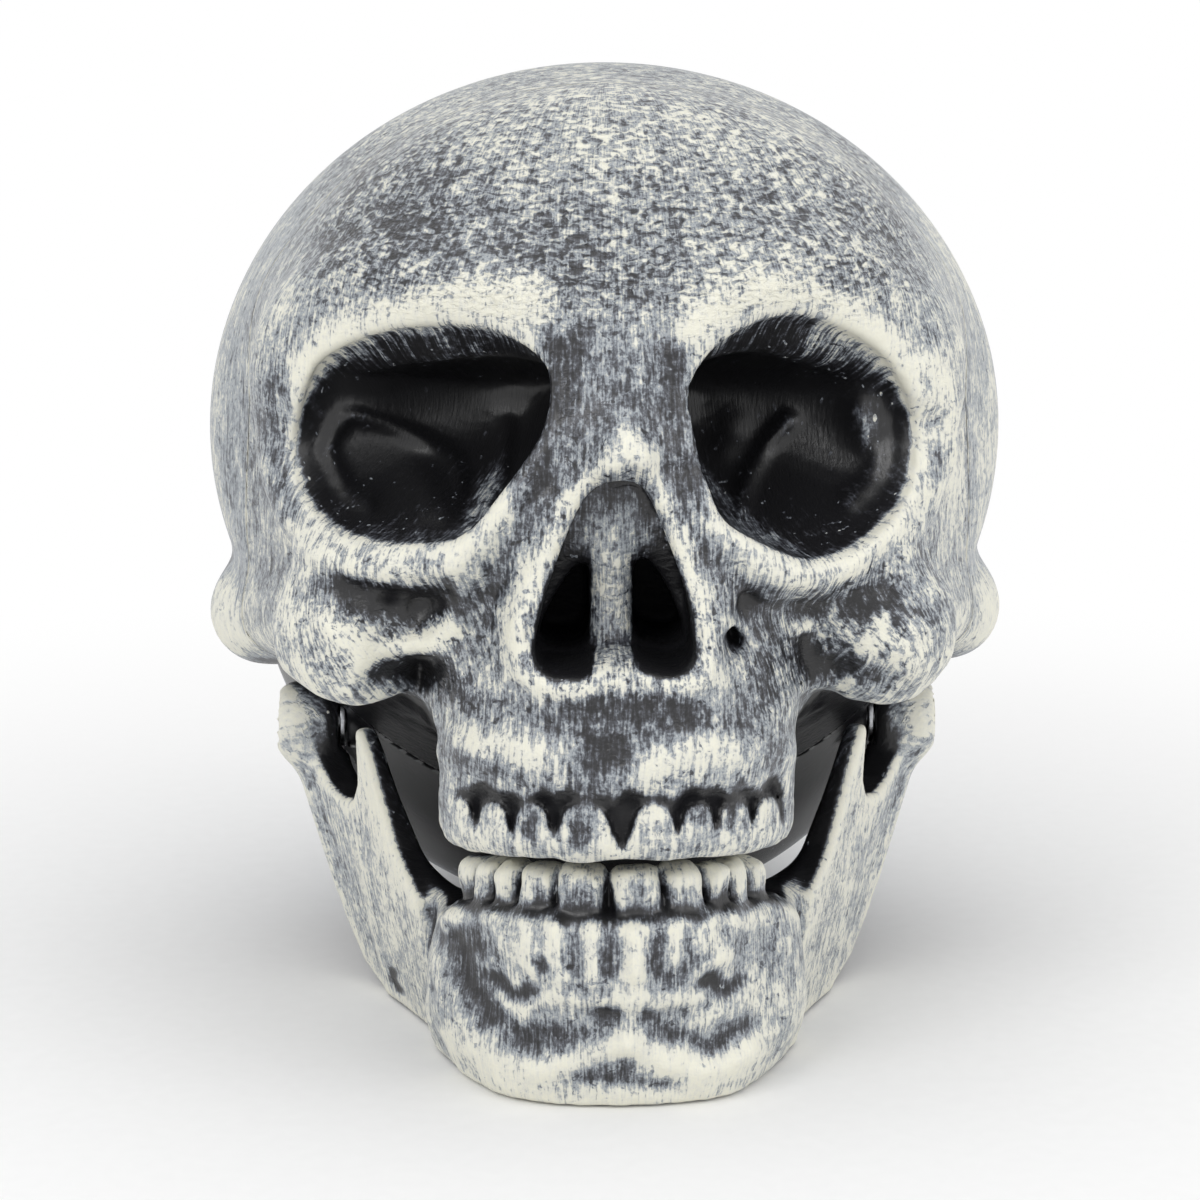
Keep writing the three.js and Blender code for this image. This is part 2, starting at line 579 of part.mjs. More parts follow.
const skinSolid = wrap(skin, SKIN_AROUND, SKIN_RINGS);
const aboveFloor = block([-FAR, -FAR, TABLE_Z + WALL], [FAR, FAR, FAR]);
const hollowSolid = wrap(inset(core, WALL), HOLLOW_AROUND, HOLLOW_RINGS).intersect(aboveFloor);
const lipOutside = wrap(inset(core, (WALL + CLEARANCE) / 2), HOLLOW_AROUND, HOLLOW_RINGS);
const lapInside = wrap(inset(core, (WALL - CLEARANCE) / 2), HOLLOW_AROUND, HOLLOW_RINGS);
const slab = (from, to) => block([-FAR, from, -FAR], [FAR, to, FAR]);

const SCREW_Y = SEAM_Y - SCREW_FORWARD;
const PAD_RADIUS = SCREW_HEAD_RADIUS + SCREW_PAD_MARGIN;

/** Height of a form's underside below its middle, at a place in plan. */
function undersideZ(form, x, y) {
  const from = new THREE.Vector3(x, y, VAULT_CENTRE_Z);
  return VAULT_CENTRE_Z - reach(form, from, new THREE.Vector3(0, 0, -1));
}

const PAD_LOW_Z = undersideZ(core, SCREW_X, SCREW_Y + PAD_RADIUS);
const PAD_HIGH_Z = undersideZ(inset(core, WALL), SCREW_X, SCREW_Y - PAD_RADIUS) + CLEARANCE;
const POST_Z = PAD_HIGH_Z + CLEARANCE; // foot of the post that a screw bites

/** The arched roof of the mouth as a cutter, grown all round by a wall. */
function palate(grow = 0) {
  const half = (DENTAL_LENGTH - GUM_THICKNESS) / 2;
  const dome = new THREE.SphereGeometry(1, ROUND_STEPS, 8);
  dome.scale(DENTAL_WIDTH / 2 - GUM_THICKNESS + grow, half + grow, PALATE_RISE + grow);
  return solid(dome.translate(0, DENTAL_FRONT_Y + GUM_THICKNESS + half, GUM_Z));
}

/** The front shell: face, sockets, nose opening, upper jaw with its teeth, and the lip of the seam. */
function faceShell() {
  let hollow = hollowSolid.subtract(noseCutter(WALL)).subtract(palate(WALL));
  let sockets = null;
  for (const { sign } of SIDES) {
    hollow = hollow.subtract(socket(sign, WALL));
    sockets = sockets ? sockets.add(socket(sign)) : socket(sign);
  }
  const biteZ = BITE_Z + BITE_GAP / 2;
  const halfRow = (DENTAL_WIDTH - TOOTH_DEPTH) / 2;
  const frontY = DENTAL_FRONT_Y + TOOTH_DEPTH / 2;
  const teeth = toothRow(UPPER_TEETH, halfRow, frontY, biteZ, UPPER_CROWN + TOOTH_ROOTED, true);

  const front = skinSolid.intersect(slab(-FAR, SEAM_Y - CLEARANCE / 2)).subtract(hollow);
  const lip = lipOutside.subtract(hollowSolid).intersect(slab(SEAM_Y - LIP_LENGTH, SEAM_Y + LIP_LENGTH));
  let shell = front.add(lip).subtract(sockets).subtract(noseCutter()).subtract(palate()).add(teeth);
  for (const { sign } of SIDES) {
    shell = shell.add(barAlongZ(PAD_RADIUS, sign * SCREW_X, SCREW_Y, PAD_LOW_Z, PAD_HIGH_Z));
    shell = shell.subtract(barAlongZ(SCREW_RADIUS + CLEARANCE, sign * SCREW_X, SCREW_Y, TABLE_Z, POST_Z));
  }
  return shell;
}

/** The rear shell: braincase, rebate of the seam, hinge bosses, and the tongues for the shell screws. */
function craniumShell() {
  const rear = skinSolid.intersect(slab(SEAM_Y + CLEARANCE / 2, FAR)).intersect(aboveTable);
  const rebate = lapInside.intersect(slab(SEAM_Y, SEAM_Y + LIP_LENGTH + CLEARANCE));
  const fossa = KNUCKLE_RADIUS + FOSSA_CLEARANCE;
  let shell = rear.subtract(hollowSolid).subtract(rebate);
  for (const { sign } of SIDES) {
    const face = sign * HINGE_BOSS_X;
    const threadEnd = face - sign * (PIN_THREAD_LENGTH + CLEARANCE);
    const cup = barAlongX(fossa + WALL, face - sign * WALL, sign * FAR).intersect(rear).subtract(rebate);
    shell = shell.add(cup).subtract(barAlongX(fossa, face, sign * FAR));
    shell = shell.add(barAlongX(HINGE_BOSS_RADIUS, threadEnd - sign * WALL, face));
    shell = shell.subtract(barAlongX(PIN_THREAD_RADIUS + CLEARANCE, threadEnd, sign * FAR));
    const pilotTop = POST_Z + SCREW_BITE + SCREW_RADIUS + CLEARANCE;
    const pilot = barAlongZ(SCREW_RADIUS + CLEARANCE, sign * SCREW_X, SCREW_Y, PAD_HIGH_Z, pilotTop);
    shell = shell.add(screwTongue(sign * SCREW_X)).subtract(pilot);
  }
  return shell;
}

/** A leg on the rear shell's floor with a tongue that reaches forward over the seam to a screw post. */
function screwTongue(x) {
  const top = POST_Z + SCREW_BOSS_RADIUS;
  const legFront = SEAM_Y + LIP_LENGTH + 2 * CLEARANCE;
  const legBack = legFront + 2 * SCREW_BOSS_RADIUS;
  const leg = block([x - SCREW_BOSS_RADIUS, legFront, TABLE_Z], [x + SCREW_BOSS_RADIUS, legBack, top]);
  const tongue = block([x - SCREW_BOSS_RADIUS, SCREW_Y, POST_Z], [x + SCREW_BOSS_RADIUS, legBack, top]);
  const postTop = POST_Z + SCREW_BITE + SCREW_RADIUS + WALL;
  const post = barAlongZ(SCREW_BOSS_RADIUS, x, SCREW_Y, POST_Z, postTop);
  return leg.intersect(lapInside).add(tongue).add(post);
}

// Lower jaw

const KNUCKLE_FROM_X = HINGE_BOSS_X + WASHER_THICKNESS + 2 * CLEARANCE;
const KNUCKLE_X = KNUCKLE_FROM_X + KNUCKLE_LENGTH / 2;
const PIN_SEAT_X = KNUCKLE_FROM_X + KNUCKLE_LENGTH - PIN_HEAD_HEIGHT - PIN_HEAD_SUNK; // under the pin's head
const JAW_HEIGHT = BITE_Z - BITE_GAP / 2 - LOWER_CROWN + GUM_LAP - TABLE_Z; // at the chin, up to the gum

/** How far out the middle of a ramus plate lies. */
function ramusX(y, z) {
  return KNUCKLE_X + Math.tan(RAMUS_FLARE) * (y - HINGE_Y) + Math.tan(RAMUS_TILT) * (z - HINGE_Z);
}

/** The body of the jaw: a loft of rounded sections around a horseshoe, leaning out at the front. */
function jawBody() {
  const front = JAW_FRONT_Y + JAW_THICKNESS / 2;
  const corner = CHIN_WIDTH / 2 - JAW_THICKNESS / 2;
  const half = [
    new THREE.Vector3(ramusX(JAW_ANGLE_Y, JAW_HEIGHT_BACK / 2), JAW_ANGLE_Y, 0),
    new THREE.Vector3(corner + JAW_SPREAD, (JAW_ANGLE_Y + front + CHIN_ROUND) / 2, 0),
    new THREE.Vector3(corner, front + CHIN_ROUND, 0),
    new THREE.Vector3(corner / 2, front + CHIN_ROUND / 7, 0),
  ];
  const mirrored = half.map((p) => new THREE.Vector3(-p.x, p.y, p.z)).reverse();
  const path = new THREE.CatmullRomCurve3([...half, new THREE.Vector3(0, front, 0), ...mirrored]);
  const steps = 20;
  const around = 12;
  const sections = [];
  for (let i = 0; i <= steps; i++) {
    const place = path.getPointAt(i / steps);
    const way = path.getTangentAt(i / steps);
    const outward = new THREE.Vector3(way.y, -way.x, 0).negate();
    const forward = THREE.MathUtils.smoothstep(Math.min(i, steps - i) / steps, ...JAW_STEP_UP);
    const tall = (JAW_HEIGHT_BACK + (JAW_HEIGHT - JAW_HEIGHT_BACK) * forward + JAW_FOOT_DROP) / 2;
    const thick = THREE.MathUtils.lerp(RAMUS_THICKNESS - RAMUS_BEVEL, JAW_THICKNESS, forward) / 2;
    const bodyLean = JAW_LEAN * outward.y ** 2 - JAW_SIDE_LEAN * outward.x ** 2;
    const lean = THREE.MathUtils.lerp(Math.tan(RAMUS_TILT), bodyLean, forward);
    const ring = [];
    for (let j = 0; j < around; j++) {
      const turn = (2 * Math.PI * j) / around;
      const up = tall * soften(Math.sin(turn), JAW_SQUARENESS);
      const out = thick * soften(Math.cos(turn), JAW_SQUARENESS) + lean * up;
      const z = TABLE_Z - JAW_FOOT_DROP + tall + up;
      ring.push(new THREE.Vector3(place.x + outward.x * out, place.y + outward.y * out, z));
    }
    sections.push(ring);
  }
  return solid(new LoftGeometry(sections, { capStart: true, capEnd: true }));
}

/** The upright plate of the jaw on one side, with its two processes and the saddle between them. */
function ramus(sign) {
  const foot = -(HINGE_Z - TABLE_Z + JAW_FOOT_DROP) / Math.cos(RAMUS_TILT);
  const gum = foot + JAW_HEIGHT_BACK;
  const tip = -RAMUS_LENGTH * CORONOID_SHARE;
  const side = CORONOID_WIDTH / 2;
  const neck = KNUCKLE_RADIUS - 2 * RAMUS_BEVEL + CLEARANCE;
  const saddle = (tip - neck) / 2;
  const outline = new THREE.Shape();
  outline.moveTo(neck, 0);
  const heel = (JAW_ANGLE_Y - HINGE_Y) / Math.cos(RAMUS_FLARE); // where the lower border starts
  outline.bezierCurveTo(0, foot / 4, 0, foot / 2, -neck, (foot * 3) / 4);
  outline.quadraticCurveTo(-2 * neck, foot, heel, foot);
  outline.lineTo(-RAMUS_LENGTH, foot);
  outline.lineTo(-RAMUS_LENGTH, gum);
  outline.quadraticCurveTo(tip - 2 * side, gum + CORONOID_HEIGHT, tip - side, CORONOID_HEIGHT - side);
  outline.quadraticCurveTo(tip, CORONOID_HEIGHT + side, tip + side, CORONOID_HEIGHT - side);
  outline.bezierCurveTo(tip + 2 * side, -NOTCH_DEPTH / 2, tip + 3 * side, -NOTCH_DEPTH, saddle, -NOTCH_DEPTH);
  outline.quadraticCurveTo(saddle / 2, -NOTCH_DEPTH, -neck, 0);
  const plate = new THREE.ExtrudeGeometry(outline, {
    depth: RAMUS_THICKNESS - 2 * RAMUS_BEVEL,
    bevelThickness: RAMUS_BEVEL,
    bevelSize: RAMUS_BEVEL,
    bevelOffset: -RAMUS_BEVEL,
    bevelSegments: 1,
    curveSegments: 6,
  }).translate(0, 0, RAMUS_BEVEL - RAMUS_THICKNESS / 2);
  const back = new THREE.Vector3(sign * Math.sin(RAMUS_FLARE), Math.cos(RAMUS_FLARE), 0);
  const up = new THREE.Vector3(sign * Math.sin(RAMUS_TILT), 0, Math.cos(RAMUS_TILT));
  const out = new THREE.Vector3().crossVectors(back, up).normalize();
  plate.applyMatrix4(new THREE.Matrix4().makeBasis(back, up, out));
  return solid(plate.translate(sign * KNUCKLE_X, HINGE_Y, HINGE_Z));
}

/** The whole lower jaw with its teeth, chin and hinge knuckles. */
function lowerJaw() {
  const biteZ = BITE_Z - BITE_GAP / 2;
  const frontY = JAW_FRONT_Y - JAW_LEAN * (JAW_HEIGHT / 2) + JAW_THICKNESS / 2;
  const halfRow = (LOWER_WIDTH - TOOTH_DEPTH) / 2;
  const rowLength = LOWER_TEETH.reduce((sum, width) => sum + width);
  const gum = gumRidge(rowLength, halfRow, frontY, JAW_HEIGHT - GUM_RIDGE, JAW_HEIGHT);
  let jaw = jawBody().add(gum);
  jaw = jaw.add(toothRow(LOWER_TEETH, halfRow, frontY, biteZ, LOWER_CROWN + TOOTH_ROOTED, false));
  const chin = new THREE.SphereGeometry(1, ROUND_STEPS, 8);
  chin.scale(CHIN_WIDTH / 3, CHIN_RELIEF + JAW_THICKNESS / 2, CHIN_HEIGHT / 2);
  jaw = jaw.add(solid(chin.translate(0, JAW_FRONT_Y + JAW_THICKNESS / 2 + CHIN_RELIEF, CHIN_HEIGHT / 3)));
  for (const { sign } of SIDES) {
    const inner = sign * KNUCKLE_FROM_X;
    const outer = sign * (KNUCKLE_FROM_X + KNUCKLE_LENGTH);
    jaw = jaw.add(ramus(sign));
    jaw = jaw.subtract(barAlongX(HINGE_BOSS_RADIUS + FOSSA_CLEARANCE, 0, inner));
    jaw = jaw.add(barAlongX(KNUCKLE_RADIUS, inner, outer));
    jaw = jaw.subtract(barAlongX(PIN_HEAD_RADIUS + CLEARANCE, sign * PIN_SEAT_X, sign * FAR));
    jaw = jaw.subtract(barAlongX(PIN_RADIUS + PIN_CLEARANCE, 0, sign * FAR));
  }
  return jaw.intersect(aboveTable);
}

// Turned hardware

/** A turned piece from its profile of radius and height, along +Z from its foot. */
function turned(profile) {
  const points = profile.map(([radius, z]) => new THREE.Vector2(radius, z));
  return new THREE.LatheGeometry(points, ROUND_STEPS).rotateX(Math.PI / 2);
}

/** The shoulder screw that a knuckle turns on, pointing outwards along X. */
function hingePin(sign) {
  const shoulder = PIN_SEAT_X - HINGE_BOSS_X + CLEARANCE;
  const pin = turned([
    [0, -PIN_THREAD_LENGTH],
    [PIN_THREAD_RADIUS, -PIN_THREAD_LENGTH],
    [PIN_THREAD_RADIUS, CLEARANCE / 2],
    [PIN_RADIUS, CLEARANCE / 2],
    [PIN_RADIUS, shoulder],
    [PIN_HEAD_RADIUS, shoulder],
    [PIN_HEAD_RADIUS, shoulder + PIN_HEAD_HEIGHT / 2],
    [PIN_HEAD_RADIUS / 2, shoulder + PIN_HEAD_HEIGHT],
    [0, shoulder + PIN_HEAD_HEIGHT],
  ]);
  return solid(pin.rotateY((sign * Math.PI) / 2).translate(sign * HINGE_BOSS_X, HINGE_Y, HINGE_Z));
}

/** The washer between a boss and its knuckle. */
function hingeWasher(sign) {
  const bore = PIN_RADIUS + PIN_CLEARANCE;
  const ring = turned([
    [bore, 0],
    [WASHER_RADIUS, 0],
    [WASHER_RADIUS, WASHER_THICKNESS],
    [bore, WASHER_THICKNESS],
    [bore, 0],
  ]);
  const x = sign * (HINGE_BOSS_X + CLEARANCE);
  return solid(ring.rotateY((sign * Math.PI) / 2).translate(x, HINGE_Y, HINGE_Z));
}

/** A screw that holds the shells together, its head under the face shell's pad. */
function shellScrew(sign) {
  const length = POST_Z - PAD_LOW_Z + SCREW_BITE;
  const screw = turned([
    [0, -SCREW_HEAD_HEIGHT],
    [SCREW_HEAD_RADIUS / 2, -SCREW_HEAD_HEIGHT],
    [SCREW_HEAD_RADIUS, -SCREW_HEAD_HEIGHT / 2],
    [SCREW_HEAD_RADIUS, 0],
    [SCREW_RADIUS, 0],
    [SCREW_RADIUS, length],
    [0, length + SCREW_RADIUS],
  ]);
  return solid(screw.translate(sign * SCREW_X, SCREW_Y, PAD_LOW_Z - CLEARANCE));
}

// Pieces

const painted = () => new THREE.MeshStandardMaterial({ color: 0x8d8e8c, roughness: 0.55, metalness: 0 });
const steel = () => new THREE.MeshStandardMaterial({ color: 0x9b9da0, roughness: 0.35, metalness: 1 });

const skull = new THREE.Group();
skull.name = "skull";
skull.add(pieceOf("face_shell", faceShell(), painted()));
skull.add(pieceOf("cranium_shell", craniumShell(), painted()));
skull.add(pieceOf("jaw", lowerJaw(), painted()));
for (const { name, sign } of SIDES) {
  skull.add(pieceOf(`hinge_pin_${name}`, hingePin(sign), steel()));
  skull.add(pieceOf(`hinge_washer_${name}`, hingeWasher(sign), steel()));
  skull.add(pieceOf(`shell_screw_${name}`, shellScrew(sign), steel()));
}

export default skull;
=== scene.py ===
import logging
import math
from collections.abc import Callable, Sequence
from dataclasses import dataclass, field
from enum import Enum

import bpy
import numpy as np
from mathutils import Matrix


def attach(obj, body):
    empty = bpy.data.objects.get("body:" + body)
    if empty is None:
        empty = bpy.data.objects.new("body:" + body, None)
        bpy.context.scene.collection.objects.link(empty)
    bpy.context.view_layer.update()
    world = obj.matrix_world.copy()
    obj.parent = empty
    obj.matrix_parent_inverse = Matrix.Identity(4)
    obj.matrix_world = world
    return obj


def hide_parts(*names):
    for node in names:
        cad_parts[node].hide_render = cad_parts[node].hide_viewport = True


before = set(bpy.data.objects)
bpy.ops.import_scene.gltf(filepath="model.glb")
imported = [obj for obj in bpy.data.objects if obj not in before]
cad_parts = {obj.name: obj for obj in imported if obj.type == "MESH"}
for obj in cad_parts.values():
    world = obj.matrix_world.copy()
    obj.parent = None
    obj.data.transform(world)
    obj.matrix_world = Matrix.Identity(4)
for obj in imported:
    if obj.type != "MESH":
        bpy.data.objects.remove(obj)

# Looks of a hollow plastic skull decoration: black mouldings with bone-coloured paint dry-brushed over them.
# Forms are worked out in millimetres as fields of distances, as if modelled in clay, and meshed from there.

log = logging.getLogger("skull")

Array = np.ndarray
Pair = tuple[float, float]
Triple = tuple[float, float, float]
Corners = tuple[Triple, Triple]  # opposite corners of a block
Oval = tuple[Triple, Triple]  # an ellipsoid's middle and half sizes
Run = tuple[Triple, Triple, float, float]  # a bar's ends and its radius at each
Turned = tuple[float, Pair]  # a round piece's radius, and where it starts and ends on its axis
Form = Callable[[Array, Array, Array], Array]

MM = 0.001
FAR = 1000.0
BARE = -2.0  # an amount of paint that leaves the plastic bare
THICK = 0.6  # and one above which it presses together
SIDES = (-1.0, 1.0)


class Axis(Enum):
    """The axis that a round piece is turned about."""

    X = "x"
    Z = "z"


class Body(Enum):
    """The bodies of the frame that pieces ride on."""

    SKULL = "skull"
    JAW = "jaw"


class Slot(Enum):
    """The finishes that the part's record lists."""

    PAINTED_PLASTIC = "painted_plastic"
    STEEL = "steel"


# Forms, as distances in millimetres: negative inside, positive outside

def ellipsoid(x: Array, y: Array, z: Array, centre: Triple, radii: Triple) -> Array:
    """Distance to an ellipsoid.

    Args:
        x, y, z: places.
        centre: its middle.
        radii: its half sizes.

    Returns:
        The distance at each place.
    """
    u, v, w = ((p - c) / r for p, c, r in zip((x, y, z), centre, radii))
    near = np.sqrt(u * u + v * v + w * w)
    slope = np.sqrt((u / radii[0]) ** 2 + (v / radii[1]) ** 2 + (w / radii[2]) ** 2)
    return near * (near - 1) / np.maximum(slope, 1e-6)


def bar(x: Array, y: Array, z: Array, start: Triple, end: Triple, radius: float, tip: float) -> Array:
    """Distance to a round bar between two points.

    Args:
        x, y, z: places.
        start, end: its ends.
        radius: at its start.
        tip: radius at its end.

    Returns:
        The distance at each place.
    """
    along = [b - a for a, b in zip(start, end)]
    out = [p - a for p, a in zip((x, y, z), start)]
    length2 = sum(a * a for a in along)
    t = np.clip(sum(o * a for o, a in zip(out, along)) / length2, 0, 1)
    off = sum((o - a * t) ** 2 for o, a in zip(out, along))
    return np.sqrt(off) - (radius + (tip - radius) * t)


def box(x: Array, y: Array, z: Array, centre: Triple, half: Triple, edge: float) -> Array:
    """Distance to a box with rounded edges.

    Args:
        x, y, z: places.
        centre: its middle.
        half: its half sizes.
        edge: radius of its edges.

    Returns:
        The distance at each place.
    """
    u, v, w = (np.abs(p - c) - h + edge for p, c, h in zip((x, y, z), centre, half))
    outside = np.sqrt(np.maximum(u, 0) ** 2 + np.maximum(v, 0) ** 2 + np.maximum(w, 0) ** 2)
    return outside + np.minimum(np.maximum(np.maximum(u, v), w), 0) - edge


def turned(x: Array, y: Array, z: Array, axis: Axis) -> tuple[Array, Array, Array]:
    """Places along an axis and on the two axes across it."""
    return (x, y, z) if axis is Axis.X else (z, x, y)


def rod(x: Array, y: Array, z: Array, axis: Axis, middle: Pair, radius: float, span: Pair, edge: float = 0.0) -> Array:
    """Distance to a round rod with flat ends along an axis.

    Args:
        x, y, z: places.
        axis: which way it runs.
        middle: where its axis lies on the other two axes.
        radius: its radius.
        span: where it starts and ends.
        edge: radius of its edges.

    Returns:
        The distance at each place.
    """
    along, across, over = turned(x, y, z, axis)
    side = np.sqrt((across - middle[0]) ** 2 + (over - middle[1]) ** 2) - radius
    return meet(side, np.abs(along - sum(span) / 2) - abs(span[1] - span[0]) / 2, edge)


def meet(a: Array, b: Array, edge: float) -> Array:
    """What two forms share, with a rounded edge where they meet."""
    a, b = a + edge, b + edge
    return np.hypot(np.maximum(a, 0), np.maximum(b, 0)) + np.minimum(np.maximum(a, b), 0) - edge


def join(a: Array, b: Array, fillet: float = 0.0) -> Array:
    """Two forms joined.

    Args:
        a, b: distances to the forms.
        fillet: size of the fillet between them.

    Returns:
        The distance to both together.
    """
    if fillet <= 0:
        return np.minimum(a, b)
    h = np.maximum(fillet - np.abs(a - b), 0) / fillet
    return np.minimum(a, b) - h * h * fillet / 4


def carve(a: Array, b: Array, fillet: float = 0.0) -> Array:
    """A form with another cut out of it, with a fillet along the cut."""
    return -join(-a, b, fillet)


def smooth_line(points: Sequence[Pair], closed: bool, steps: int = 5) -> Array:
    """A curve through points in a plane.

    Args:
        points: the points in order.
        closed: whether the curve returns to its start.
        steps: pieces between two points.

    Returns:
        The curve's places, one row each.
    """
    p = np.asarray(points, float)
    count = len(p) if closed else len(p) - 1
    places = []
    for i in range(count):
        if closed:
            a, b, c, d = (p[(i + k) % len(p)] for k in (-1, 0, 1, 2))
        else:
            a, b, c, d = (p[min(max(i + k, 0), len(p) - 1)] for k in (-1, 0, 1, 2))
        for t in np.arange(steps) / steps:
            bend = (-a + 3 * b - 3 * c + d) * t**3 + (2 * a - 5 * b + 4 * c - d) * t**2
            places.append(b + (bend + (c - a) * t) / 2)
    if not closed:
        places.append(p[-1])
    return np.array(places)


def mirrored(line: Array) -> Array:
    """A line that ends on the middle plane, with its mirror image after it."""
    return np.vstack([line, line[::-1][1:] * (-1, 1)])


def line_distance(u: Array, v: Array, line: Array) -> Array:
    """Distance in a plane to an open line.

    Args:
        u, v: places.
        line: the line's points, one row each.

    Returns:
        The distance at each place.
    """
    best = np.float32(FAR * FAR)
    for (au, av), (bu, bv) in zip(line[:-1], line[1:]):
        eu, ev = bu - au, bv - av
        t = np.clip(((u - au) * eu + (v - av) * ev) / (eu * eu + ev * ev + 1e-9), 0, 1)
        best = np.minimum(best, (u - au - eu * t) ** 2 + (v - av - ev * t) ** 2)
    return np.sqrt(best)


def loop_distance(u: Array, v: Array, loop: Array) -> Array:
    """Distance in a plane to a closed outline.

    Args:
        u, v: places.
        loop: the outline's points, one row each.

    Returns:
        The distance at each place, negative inside the outline.
    """
    inside = np.zeros(np.broadcast(u, v).shape, bool)
    ends = np.roll(loop, -1, axis=0)
    for (au, av), (bu, bv) in zip(loop, ends):
        if av != bv:
            between = (av <= v) != (bv <= v)
            inside ^= between & (u < au + (v - av) * (bu - au) / (bv - av))
    away = line_distance(u, v, np.vstack([loop, loop[:1]]))
    return np.where(inside, -away, away)


def ramp(value: Array, low: float, high: float) -> Array:
    """A smooth step from 0 at low to 1 at high."""
    t = np.clip((value - low) / (high - low), 0, 1)
    return t * t * (3 - 2 * t)


def swell(away: Array, width: float) -> Array:
    """A round swelling, 1 where a distance is nothing and falling off over a width."""
    return np.exp(-((away / width) ** 2))


# Clay

class Clay:
    """A block of space that forms are added to and cut from, and then meshed."""

    def __init__(self, corners: Corners, step: float) -> None:
        """Lays out the block.

        Args:
            corners: its lowest and highest corner in millimetres.
            step: distance between its points.
        """
        self.step = step
        self.low = np.array(corners[0], float)
        self.axes = [np.arange(a, b + step, step, dtype=np.float32) for a, b in zip(*corners)]
        self.d = np.full([len(a) for a in self.axes], FAR, np.float32)

    def window(self, around: Corners | None) -> tuple[tuple[slice, ...], list[Array]]:
        """The part of the block inside two corners.

        Args:
            around: the corners, or none for the whole block.

        Returns:
            Its slices, and its places along each axis.
        """
        if around is None:
            part = tuple(slice(0, len(a)) for a in self.axes)
        else:
            part = tuple(slice(*np.searchsorted(a, (lo, hi))) for a, lo, hi in zip(self.axes, *around))
        x, y, z = (a[s] for a, s in zip(self.axes, part))
        return part, [x[:, None, None], y[None, :, None], z[None, None, :]]

    def grid(self) -> list[Array]:
        """The places of all its points along each axis."""
        return self.window(None)[1]

    def add(self, form: Form, fillet: float = 0.0, around: Corners | None = None) -> None:
        """Joins a form to the clay, inside two corners where they are given."""
        part, places = self.window(around)
        self.d[part] = join(self.d[part], form(*places), fillet)

    def cut(self, form: Form, fillet: float = 0.0, around: Corners | None = None) -> None:
        """Cuts a form out of the clay, inside two corners where they are given."""
        part, places = self.window(around)
        self.d[part] = carve(self.d[part], form(*places), fillet)

    def merge(self, solid: Array) -> None:
        """Adds a solid that is already measured."""
        self.d = np.minimum(self.d, solid).astype(np.float32)

    def trim(self, limit: Array) -> None:
        """Keeps what lies inside a limit that is already measured."""
        self.d = np.maximum(self.d, limit).astype(np.float32)

    def raise_by(self, height: Array) -> None:
        """Moves the surface out by a height at each point."""
        self.d -= height.astype(np.float32)

    def roughen(self, size: float, amount: float, seed: int, share: Array) -> None:
        """Covers the clay with soft lumps.

        Args:
            size: distance between them in millimetres.
            amount: how far the largest stand out.
            seed: picks their places.
            share: how much of them each point of the block gets.
        """
        counts = [int((a[-1] - a[0]) / size) + 3 for a in self.axes]
        lumps = np.random.default_rng(seed).uniform(-1, 1, counts).astype(np.float32)
        for axis, places in enumerate(self.axes):
            at = (places - places[0]) / size
            cell = at.astype(int)
            part = ramp(at - cell, 0, 1).reshape([-1 if k == axis else 1 for k in range(3)])
            lumps = np.take(lumps, cell, axis=axis) * (1 - part) + np.take(lumps, cell + 1, axis=axis) * part
        self.raise_by(amount * share * lumps)

    def measure(self, form: Form, around: Corners | None = None) -> Array:
        """A form's distances over the whole block.

        Args:
            form: the form.
            around: two corners, outside of which the form is far away, or none.

        Returns:
            The distance at each point of the block.
        """
        made = np.full(self.d.shape, FAR, np.float32)
        part, places = self.window(around)
        made[part] = form(*places)
        return made

    def sample(self, values: Array, places: Array) -> Array:
        """Values of the block's points read at places between them.

        Args:
            values: one value for each point of the block.
            places: rows of x, y and z.

        Returns:
            One value for each place.
        """
        at = (places - self.low) / self.step
        at = np.clip(at, 0, np.array(values.shape) - 1.001)
        cell = at.astype(int)
        part = at - cell
        total = np.zeros(len(places))
        for corner in np.ndindex(2, 2, 2):
            weight = np.prod(np.where(corner, part, 1 - part), axis=1)
            total += weight * values[tuple((cell + corner).T)]
        return total

    def facing(self, places: Array) -> Array:
        """Which way the clay's surface faces at places on it, as rows of unit length."""
        rise = np.stack([self.sample(g, places) for g in np.gradient(self.d)], axis=1)
        return rise / np.maximum(np.linalg.norm(rise, axis=1, keepdims=True), 1e-6)

    def standing_out(self, solid: Array, radius: float, places: Array) -> Array:
        """How much a form stands out at places on it.

        Args:
            solid: the form's distances.
            radius: how far around a place counts, in millimetres.
            places: rows of x, y and z.

        Returns:
            About 0 on a flat, up to 0.5 on a ridge and down to -0.5 in a hollow.
        """
        share = np.clip(0.5 - solid / (2 * self.step), 0, 1).astype(np.float32)
        reach = max(1, round(radius / self.step))
        for _ in range(2):
            for axis in range(3):
                pad = [(reach + 1, reach) if k == axis else (0, 0) for k in range(3)]
                run = np.cumsum(np.pad(share, pad, mode="edge"), axis=axis, dtype=np.float64)
                ahead = np.take(run, np.arange(2 * reach + 1, run.shape[axis]), axis=axis)
                behind = np.take(run, np.arange(0, run.shape[axis] - 2 * reach - 1), axis=axis)
                share = ((ahead - behind) / (2 * reach + 1)).astype(np.float32)
        return 0.5 - self.sample(share, places)

